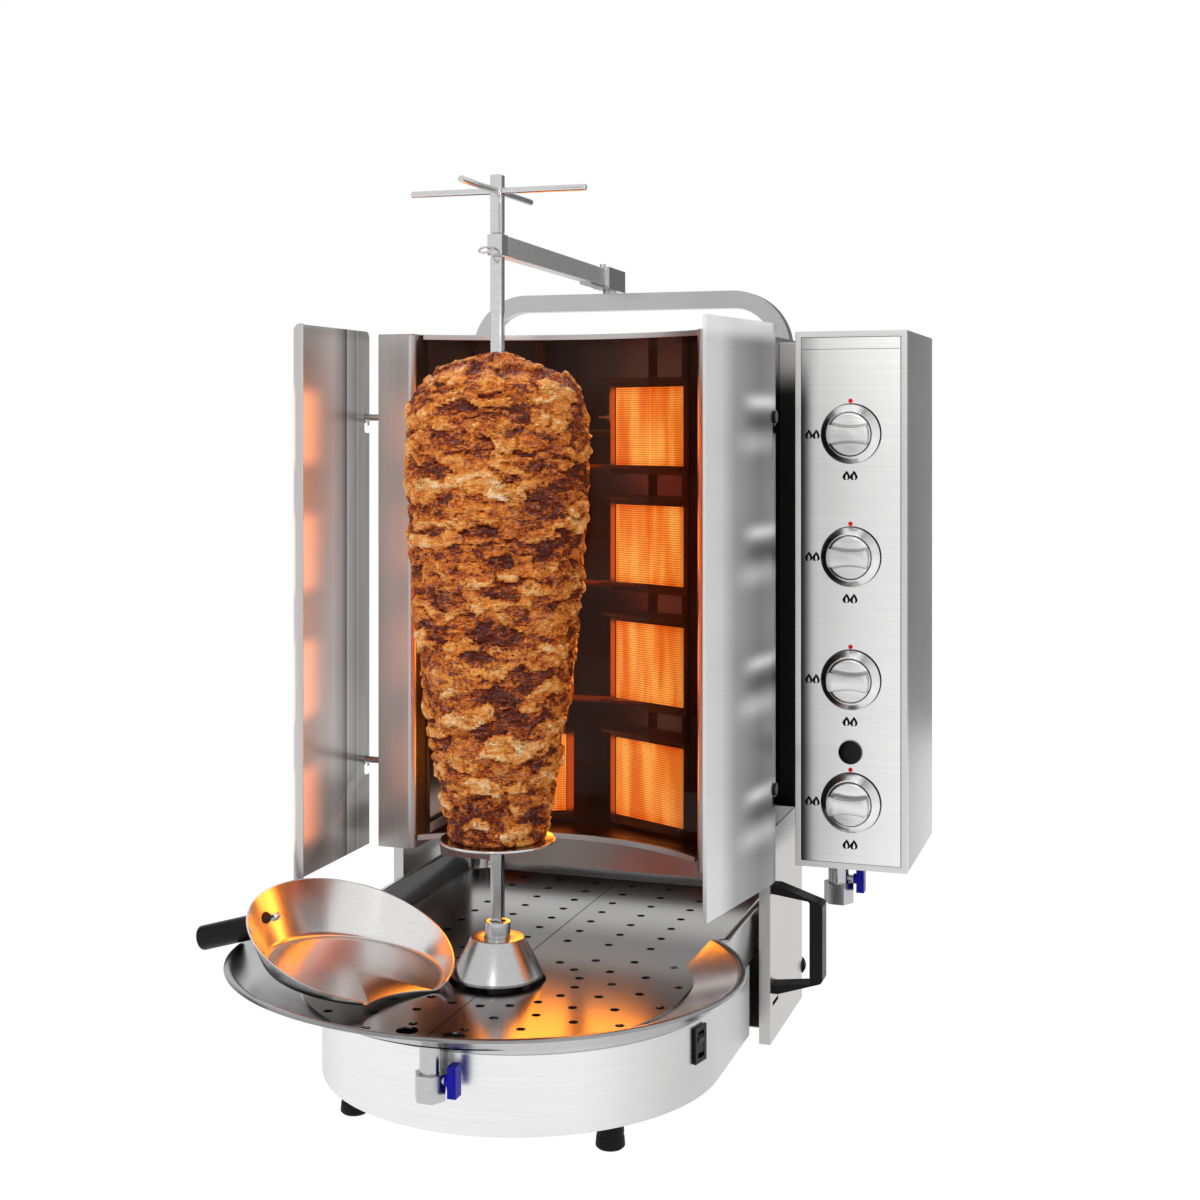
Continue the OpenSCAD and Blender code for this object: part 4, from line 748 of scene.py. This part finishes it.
def burners():
    unit = {"x": 31.5, "y": 306, "z": 296.5, "step": 141, "turn": 27.4, "wide": 112, "high": 93, "side": 9, "top": 11,
            "deep": 34, "hood": 12, "tile": 13}
    halfHigh = unit["high"] / 2 + unit["top"]
    wide, side = unit["wide"], unit["side"]
    shell = block("shell", (-side, 0, -halfHigh), (wide + side, unit["deep"], halfHigh))
    cutBy(shell, block("hollow", (-side + 1.6, 1.6, -halfHigh + 1.6), (wide + side - 1.6, unit["deep"] - 1.6, halfHigh - 1.6)),
          block("window", (0, -2, -unit["high"] / 2), (wide, 3, unit["high"] / 2)),
          rod("inlet", (wide / 2, unit["deep"] - 5, -8), (wide / 2, unit["deep"] + 5, -8), 6))
    rounded(shell, 1.1, 3)
    hood = block("hood", (-side - 3, -unit["hood"], halfHigh - 1.2), (wide + side, 1, halfHigh))
    rounded(hood, 0.4, 2)
    lip = block("lip", (-side - 3, -unit["hood"], halfHigh - 4), (wide + side, -unit["hood"] + 1.0, halfHigh))
    rounded(lip, 0.3, 2)
    strap = [(wide * 0.52, -1.2, halfHigh - 6), (wide + side - 3, -1.2, halfHigh - 6), (wide + side - 3, -1.2, halfHigh - 10),
             (wide * 0.52, -1.2, halfHigh - 10)]
    parts = [shell, hood, lip, bent("strap", strap, 0.9, 8, True)]
    head = spun("head", eased([(0, 0), (3.4, 0), (3.4, 0.8), (2.9, 2.0), (1.6, 2.3), (1.5, 1.2), (0, 1.2)], 0.3, 2), 20)
    for x in (4.5, wide - 6):
        for up in (-1, 1):
            parts.append(copyOf(head, "screw", (x, 0.2, up * (unit["high"] / 2 + unit["top"] / 2 - 0.5)), (90, 0, 0)))
    bpy.data.objects.remove(head)
    one = joined("burnerUnit", parts)
    # a pair of tiles, each with a wire screen's crowned face and its own face map
    tiles = []
    for i in (0, 1):
        low = -side / 2 + i * (wide + side) / 2 + 0.4
        tile = block("tile", (low, 2.2, -halfHigh + 6), (low + (wide + side) / 2 - 0.8, 2.2 + unit["tile"], halfHigh - 6))
        tiles.append(rounded(tile, 1.2, 2))
    pair = joined("tilePair", tiles)
    for name, sign in (("Left", -1), ("Right", 1)):
        housings = []
        screens = []
        for row in range(4):
            place = dict(shift=(sign * unit["x"], unit["y"], unit["z"] + row * unit["step"]),
                         turn=(0, 0, -sign * unit["turn"]), scale=(sign, 1, 1))
            housings.append(copyOf(one, f"housing{row}", **place))
            face = pair.copy()
            face.data = pair.data.copy()
            bpy.context.scene.collection.objects.link(face)
            chart = face.data.uv_layers.new(name="face")
            for loop in face.data.loops:
                where = face.data.vertices[loop.vertex_index].co
                chart.data[loop.index].uv = (where.x + 400 * row + 2000 * sign, where.z)
            moved(face, **place)
            screens.append(face)
        placed(joined(f"burnerHousings{name}", housings), "base", "heated",
               (f"burner_housings_{name.lower()}",))
        placed(joined(f"ceramicTiles{name}", screens), "base", "glow", ("ceramic_tiles",))
    bpy.data.objects.remove(one)
    bpy.data.objects.remove(pair)
    for node, name, width in (("burner_posts", "burnerPosts", 0.6), ("heat_shelves", "heatShelves", 0.7)):
        easedCopy(node, name, "heated", width)
    print("burners made")


def doner():
    meat = {"around": 400, "up": 236, "low": 287.2, "high": 798.0, "seed": 7.3}
    outline = [(287.2, 49), (290, 53), (298, 55), (327, 60.5), (369, 68.5), (432, 78), (484, 85), (537, 90.5), (590, 94.5),
               (642, 97), (694, 97.5), (730, 96.5), (750, 93), (763, 87), (773, 77), (780, 64), (786, 48), (792, 30), (796, 14), (798, 8.6)]
    heights, radii = np.array(outline).T
    steps = np.concatenate(([0], np.cumsum(np.hypot(np.diff(heights), np.diff(radii)))))
    around, up = meat["around"], meat["up"]
    points = []
    tones = []
    offset = Vector((meat["seed"] * 31, meat["seed"] * 17, meat["seed"] * 11))
    for j in range(up + 1):
        t = steps[-1] * j / up
        z = float(np.interp(t, steps, heights))
        r = float(np.interp(t, steps, radii))
        crown = min(1.0, max(0.0, (z - 742) / 40))
        foot = min(1.0, (z - meat["low"]) / 16)
        keep = 0.25 + 0.75 * foot
        for i in range(around):
            angle = math.tau * i / around
            out = Vector((math.cos(angle), math.sin(angle), 0))
            spot = out * (r * 0.6 + 36) + Vector((0, 0, z)) + offset
            wave = noise.noise_vector(spot / 34)
            twist = noise.noise_vector(spot / 11)
            q = spot + Vector((wave.x * 12 + twist.x * 3, wave.y * 12 + twist.y * 3, wave.z * 8 + twist.z * 2.4))
            large = Vector((q.x / 36, q.y / 36, q.z / 12.5))
            gaps, cells = noise.voronoi(large)
            small = Vector((q.x / 17, q.y / 17, q.z / 5.2))
            fine, bits = noise.voronoi(small)
            own = noise.cell(cells[0] * 7.7)
            bit = noise.cell(bits[0] * 5.1)
            crease = min(1.0, (gaps[1] - gaps[0]) / 0.42)
            seam = min(1.0, (fine[1] - fine[0]) / 0.5)
            droop = max(-1.0, min(1.0, (cells[0].z - large.z)))
            fibre = noise.fractal(Vector((q.x / 7, q.y / 7, q.z / 1.9)), 0.9, 2.1, 4)
            lump = noise.noise(spot / 45)
            rise = (own - 0.5) * 2.6 + crease ** 0.5 * 2.8 - 3.0 + droop * 1.8 + (bit - 0.5) * 1.3 + seam ** 0.5 * 1.3 + fibre * 1.3 + lump * 3.5
            rise = max(-8.5, rise) * keep
            lift = 0.0
            if crown > 0:
                lump2 = noise.fractal(spot / 17, 0.8, 2.0, 3)
                lift = crown * (lump2 * 5.5 + (own - 0.45) * 5) * min(1.0, r / 22)
                rise *= 1 - 0.35 * crown
            reach = max(8.6, r + rise * min(1.0, r / 30))
            level = z - 1.6 * droop * foot * (1 - crown) + lift
            points.append((out.x * reach, out.y * reach, max(meat["low"], min(level, 806))))
            shade = own * 0.6 + bit * 0.4
            tones.append((shade, min(1.0, crease * 0.75 + seam * 0.25), min(1.0, max(0.0, 0.5 + rise / 9)), 1.0))
    faces = [(j * around + i, j * around + (i + 1) % around, (j + 1) * around + (i + 1) % around, (j + 1) * around + i)
             for j in range(up) for i in range(around)]
    top = up * around
    faces.append(tuple(range(around - 1, -1, -1)))
    faces.append(tuple(top + i for i in range(around)))
    piece = fromPoints("donerMeat", points, faces=faces)
    mark = piece.data.color_attributes.new("meatTone", "FLOAT_COLOR", "POINT")
    mark.data.foreach_set("color", np.array(tones, np.float32).ravel())
    placed(piece, "spit", "meat", ("doner_meat",), 80)
    print("meat made")


def spit():
    shaft = {"wide": 12, "foot": 164, "top": 984, "neck": 4, "neckLow": 898, "neckHigh": 922}
    half = shaft["wide"] / 2
    parts = [rounded(block("low", (-half, -half, shaft["foot"]), (half, half, shaft["neckLow"])), 1.0, 3),
             rounded(block("high", (-half, -half, shaft["neckHigh"]), (half, half, shaft["top"])), 1.0, 3),
             rod("neck", (0, 0, shaft["neckLow"] - 2), (0, 0, shaft["neckHigh"] + 2), shaft["neck"])]
    placed(joined("spitShaft", parts), "spit", "bright", ("spit_shaft",))
    rods = [spun("rodX", eased([(0, -98.5), (3.5, -98.5), (3.5, 98.5), (0, 98.5)], 1.4, 3, False), 32, False)]
    rods.append(copyOf(rods[0], "rodY", turn=(90, 0, 0)))
    moved(rods[0], turn=(0, 90, 0))
    for piece in rods:
        moved(piece, (0, 0, 967))
    placed(joined("crossHandle", rods), "spit", "bright", ("cross_handle",))
    placed(spun("meatDisc", eased([(0, 284), (60.5, 284), (60.5, 287), (0, 287)], 1.2, 4, False), 128, False),
           "spit", "bright", ("meat_disc",))
    cone = eased([(46.6, 143), (48, 143), (48.2, 146), (28, 184), (14, 184), (14, 182.6), (26.8, 182.6)], 1.1, 3)
    placed(spun("dripCone", cone), "spit", "tube", ("drip_cone",))
    sleeve = eased([(8, 84), (8, 154.5), (13.6, 154.5), (13.6, 200), (8.8, 200), (8.8, 198), (0, 198), (0, 84)], 0.8, 3, False)
    placed(spun("driveCoupling", sleeve, 96, False), "spit", "bright", ("drive_coupling",))
    print("spit made")


def controls():
    knob = {"x": 324.25, "low": 290, "pitch": 140.2, "front": 271, "bezel": 34, "knob": 24.5, "rise": 20, "button": 348}
    bezels = []
    ring = eased([(25.1, 0.2), (33.4, 0.2), (34, 1.0), (34, 1.8), (27.2, 7.9), (25.6, 8), (25.1, 7.2)], 0.5, 3)
    first = spun("bezel", ring, 128)
    # the grip: a disc whose bar is narrower in the middle, as two round hollows leave it
    disc = spun("disc", eased([(0, 0), (24.5, 0), (24.5, 4.2), (23.4, 5.6), (0, 5.6)], 0.8, 3, False), 96, False)
    bar = block("bar", (-23.4, -10.4, 2), (23.4, 10.4, knob["rise"]))
    outer = rod("outer", (0, 0, -2), (0, 0, 40), 23.6, 128)
    modified(bar, "BOOLEAN", {"object": outer, "operation": "INTERSECT", "solver": "EXACT"})
    bpy.data.objects.remove(outer)
    for side in handed:
        cutBy(bar, rod("hollow", (2, side * 75.5, 1), (2, side * 75.5, 40), 67.5, 160))
    rounded(bar, 1.5, 4, 40)
    grip = joined("grip", [disc, bar])
    for k in range(4):
        height = knob["low"] + (3 - k) * knob["pitch"]
        bezels.append(copyOf(first, f"bezel{k}", (knob["x"], knob["front"], height), (90, 0, 0)))
        one = copyOf(grip, f"knob{k + 1}", (knob["x"], knob["front"] - 5.2, height), (90, 0, 0))
        placed(one, f"tap_knob_{k + 1}", "knob", (f"knob_{k + 1}",), 36)
    placed(joined("knobBezels", bezels), "base", "bezel", ("knob_bezels",))
    for piece in (first, grip):
        bpy.data.objects.remove(piece)
    cap = spun("igniterButton", eased([(0, -8), (8, -7.8), (12.4, -5.4), (13.5, -3.2), (13.5, -0.4), (11.5, -0.4), (11.5, 12), (0, 12)],
                                      2.0, 5, False), 96, False)
    moved(cap, (knob["x"], knob["front"], knob["button"]), (-90, 0, 0))
    placed(cap, "igniter", "plastic", ("igniter_button",))
    easedCopy("control_box", "controlBox", "box", 1.2, 3)
    easedCopy("control_fascia", "controlFascia", "fascia", 0.3)
    # printed marks: a red dot over each knob, flames at its left and below, and a seam near the top
    marks = {"dotUp": 38, "dot": 2.6, "flameDown": 47, "flameSide": 43.5, "thick": 0.12, "seamUp": 807.5}
    flame = [[(-6.6, -4.2), (-8.2, -1.6), (-7.0, 0.8), (-5.2, 2.6), (-4.6, 4.6), (-4.2, 2.0), (-5.4, -0.2), (-5.8, -2.4), (-4.8, -4.3)],
             [(-3.9, 4.0), (-2.2, 1.6), (-0.9, -1.0), (-1.4, -3.2), (-3.6, -4.4), (-2.6, -2.4), (-3.0, -0.4), (-4.1, 1.6)]]
    strokes = [drawn("stroke", outline, marks["thick"]) for outline in flame]
    strokes += [copyOf(stroke, "stroke", (0.6, 0, 0)) for stroke in strokes]
    strokes += [copyOf(stroke, "stroke", (7.4, 0, 0)) for stroke in strokes]
    flames = joined("flames", strokes)
    dots = []
    prints = [block("seam", (267.8, knob["front"] - 0.1, marks["seamUp"]), (380.7, knob["front"] + 0.1, marks["seamUp"] + 0.5))]
    for k in range(4):
        height = knob["low"] + k * knob["pitch"]
        dots.append(rod("dot", (knob["x"], knob["front"] + 0.1, height + marks["dotUp"]),
                        (knob["x"], knob["front"] - marks["thick"], height + marks["dotUp"]), marks["dot"], 32))
        for across, up in ((0, -marks["flameDown"]), (-marks["flameSide"], 0)):
            prints.append(copyOf(flames, "print", (knob["x"] + across, knob["front"] - 0.02, height + up), (90, 0, 0), (1.15, 1.25, 1)))
    bpy.data.objects.remove(flames)
    # painted shadow: a thin black disc behind each bezel, shifted right and up, for the shade in the gap beside it
    paintedShadows = []
    for k in range(4):
        at = Vector((knob["x"] + 1.0, knob["front"] + 0.1, knob["low"] + k * knob["pitch"] + 0.7))
        paintedShadows.append(rod("shade", at, at - Vector((0, 0.25, 0)), knob["bezel"] + 0.5, 96))
    placed(joined("bezelPaintedShadows", paintedShadows), "base", "black")
    placed(joined("fasciaDots", dots), "base", "red")
    placed(joined("fasciaPrints", prints), "base", "black")
    print("controls made")


def sheetMetal():
    sheets = [("side_plate_left", "panel", 0.4), ("side_plate_right", "panel", 0.4), ("tower_side_left", "panel", 0.4),
              ("tower_side_right", "towerRight", 0.4), ("back_panel", "panel", 0.3), ("top_cover", "panel", 0.4),
              ("wing_left", "wingLeft", 0.5), ("wing_right", "wingRight", 0.5), ("bow_tube", "tube", 2.4),
              ("support_arm", "arm", 1.6), ("bearing_fork", "bright", 0.8), ("pivot_sleeve", "tube", 0.8),
              ("carry_handle_right", "plastic", 2.2), ("drain_lever", "blue", 1.8), ("gas_lever", "blue", 1.8),
              ("drain_valve", "tube", 0.7), ("gas_inlet_valve", "tube", 0.7), ("switch_frame", "plastic", 0.8)]
    for node, look, width in sheets:
        words = node.split("_")
        name = words[0] + "".join(word.title() for word in words[1:])
        easedCopy(node, name, look, width, 3 if width > 0.5 else 2)
    # the left wing's upper corners are round
    wing = bpy.data.objects["wingLeft"]
    radius = 9 * millimetre
    arc = [(radius * (math.cos(a) - 1), radius * (math.sin(a) - 1)) for a in np.linspace(0, math.pi / 2, 9)]
    reach = 2 * millimetre
    corner = drawn("corner", arc + [(-radius, reach), (reach, reach), (reach, -radius)], 40 * millimetre)
    moved(corner, (0, 0, -20 * millimetre))
    low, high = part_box("wing_left")
    rear = copyOf(corner, "rearCorner", (high.x, high.y, high.z), (90, 0, 90))
    front = copyOf(corner, "frontCorner", (low.x, low.y, high.z), (90, 0, 0), (-1, 1, 1))
    bpy.data.objects.remove(corner)
    cutBy(wing, rear, front)
    print("sheet metal eased")


def plainNodes():
    plain = {"apron": "panel", "curved_glass": "glass", "gas_manifold": "brass", "burner_pipes": "brass", "gas_valves": "brass",
             "ignition_electrode": "ceramic", "gear_motor": "motor", "lock_pin": "bright", "cable_gland": "plastic",
             "switch_rocker": "plastic", "plate_left": "floor", "plate_right": "floor", "valve_stem_1": "bright", "valve_stem_2": "bright",
             "valve_stem_3": "bright", "valve_stem_4": "bright"}
    for node, look in plain.items():
        source = frame["nodes"][node]
        source.data.materials.clear()
        source.data.materials.append(looks[look])
    print("plain nodes dressed")


def studio():
    bpy.ops.object.select_all(action="DESELECT")
    bpy.ops.mesh.primitive_plane_add(size=14, location=(0, 1.5, -0.0005))
    floor = named("floor")
    ground = surfaceLook("paleFloor")
    path = ground.add("LightPath", {}, {}, out=0)
    glossy = ground.add("LightPath", {}, {}, out="Is Glossy Ray")
    seen = path.maths("MAXIMUM", glossy)
    diffuse = ground.add("BsdfDiffuse", {}, {0: colour(0.92, 0.92, 0.92)})
    white = ground.add("Emission", {}, {0: colour(1, 1, 1), 1: 1.12})
    floor.data.materials.append(ground.done(ground.add("MixShader", {}, {0: seen * 0.86, 1: diffuse, 2: white})))
    world = bpy.data.worlds.new("studio")
    bpy.context.scene.world = world
    world.use_nodes = True
    tree = world.node_tree
    background = tree.nodes["Background"]
    background.inputs[0].default_value = (1, 1, 1, 1)
    rays = tree.nodes.new("ShaderNodeLightPath")
    shown = tree.nodes.new("ShaderNodeMath")
    shown.operation = "MAXIMUM"
    both = tree.nodes.new("ShaderNodeMath")
    both.operation = "MAXIMUM"
    level = tree.nodes.new("ShaderNodeMapRange")
    level.inputs[3].default_value = 0.62
    level.inputs[4].default_value = 1.0
    tree.links.new(rays.outputs["Is Camera Ray"], shown.inputs[0])
    tree.links.new(rays.outputs["Is Glossy Ray"], shown.inputs[1])
    tree.links.new(shown.outputs[0], both.inputs[0])
    tree.links.new(rays.outputs["Is Transmission Ray"], both.inputs[1])
    tree.links.new(both.outputs[0], level.inputs[0])
    tree.links.new(level.outputs[0], background.inputs[1])
    lamps = [  # name, place, aim, size, power, colour, seen in metal
        ("keyLamp", (-1.1, -1.7, 1.7), (0, 0, 0.5), 0.9, 18, (1, 0.98, 0.96), False),
        ("fillLamp", (1.9, -1.2, 1.2), (0, 0, 0.5), 0.8, 8, (1, 1, 1), False),
        ("topLamp", (0.1, -0.1, 2.4), (0, 0, 0.3), 1.0, 12, (1, 1, 1), False),
        ("sparkLamp", (0.25, -2.1, 1.35), (-0.03, -0.1, 0.55), 0.16, 2.2, (1, 0.97, 0.94), True)]
    for name, place, aim, size, power, tint, sparkle in lamps:
        lamp = bpy.data.lights.new(name, "AREA")
        lamp.size = size
        lamp.energy = power
        lamp.color = tint
        holder = bpy.data.objects.new(name, lamp)
        holder.location = place
        holder.rotation_euler = (Vector(aim) - Vector(place)).to_track_quat("-Z", "Y").to_euler()
        holder.visible_camera = False
        holder.visible_glossy = sparkle
        bpy.context.scene.collection.objects.link(holder)
    # cards that the metal reflects, as a photographer hangs round a shiny object
    cards = [("rearCard", (0.55, 2.3, 0.9), 1.7, 1.8, (0, 0, 0), 0.20), ("leftCard", (-2.1, 0.2, 0.8), 1.8, 1.7, (0, 0, 90), 0.16),
             ("rightCard", (2.3, 0.9, 0.8), 1.4, 1.7, (0, 0, 90), 0.55), ("frontCard", (-0.35, -3.4, 0.7), 0.5, 1.6, (0, 0, 0), 0.45)]
    for name, place, wide, high, turn, grey in cards:
        bpy.ops.object.select_all(action="DESELECT")
        bpy.ops.mesh.primitive_plane_add(size=1, location=place, rotation=(math.radians(90), 0, math.radians(turn[2])))
        card = named(name)
        card.scale = (wide, high, 1)
        card.visible_camera = False
        card.visible_diffuse = False
        card.visible_shadow = False
        paint = surfaceLook(name)
        card.data.materials.append(paint.done(paint.add("Emission", {}, {0: colour(grey, grey, grey), 1: 1.0})))
    glow = {"x": 81.2, "y": 280.2, "z": 296.5, "step": 141, "turn": 27.4, "away": 50, "powers": ((0.7, False), (0.17, True))}
    for row in range(4):
        for side in handed:
            for power, mirrored in glow["powers"]:
                lamp = bpy.data.lights.new(f"glow{row}", "AREA")
                lamp.shape = "RECTANGLE"
                lamp.size, lamp.size_y = 0.100, 0.085
                lamp.energy = power
                lamp.color = (1.0, 0.27, 0.03)
                holder = bpy.data.objects.new(f"glow{row}", lamp)
                turn = math.radians(glow["turn"])
                away = glow["away"] + 6 * mirrored
                x = glow["x"] - away * math.sin(turn)
                y = glow["y"] - away * math.cos(turn)
                holder.location = spitAt + Vector((side * x, y, glow["z"] + row * glow["step"])) * millimetre
                aim = Vector((-side * math.sin(turn), -math.cos(turn), 0))
                holder.rotation_euler = aim.to_track_quat("-Z", "Y").to_euler()
                holder.visible_camera = False
                holder.visible_glossy = mirrored
                bpy.context.scene.collection.objects.link(holder)
    scene = bpy.context.scene
    scene.view_settings.view_transform = "Standard"
    print("studio lit")


drumAndDish()
meatPan()
feet()
burners()
doner()
spit()
controls()
sheetMetal()
plainNodes()
studio()
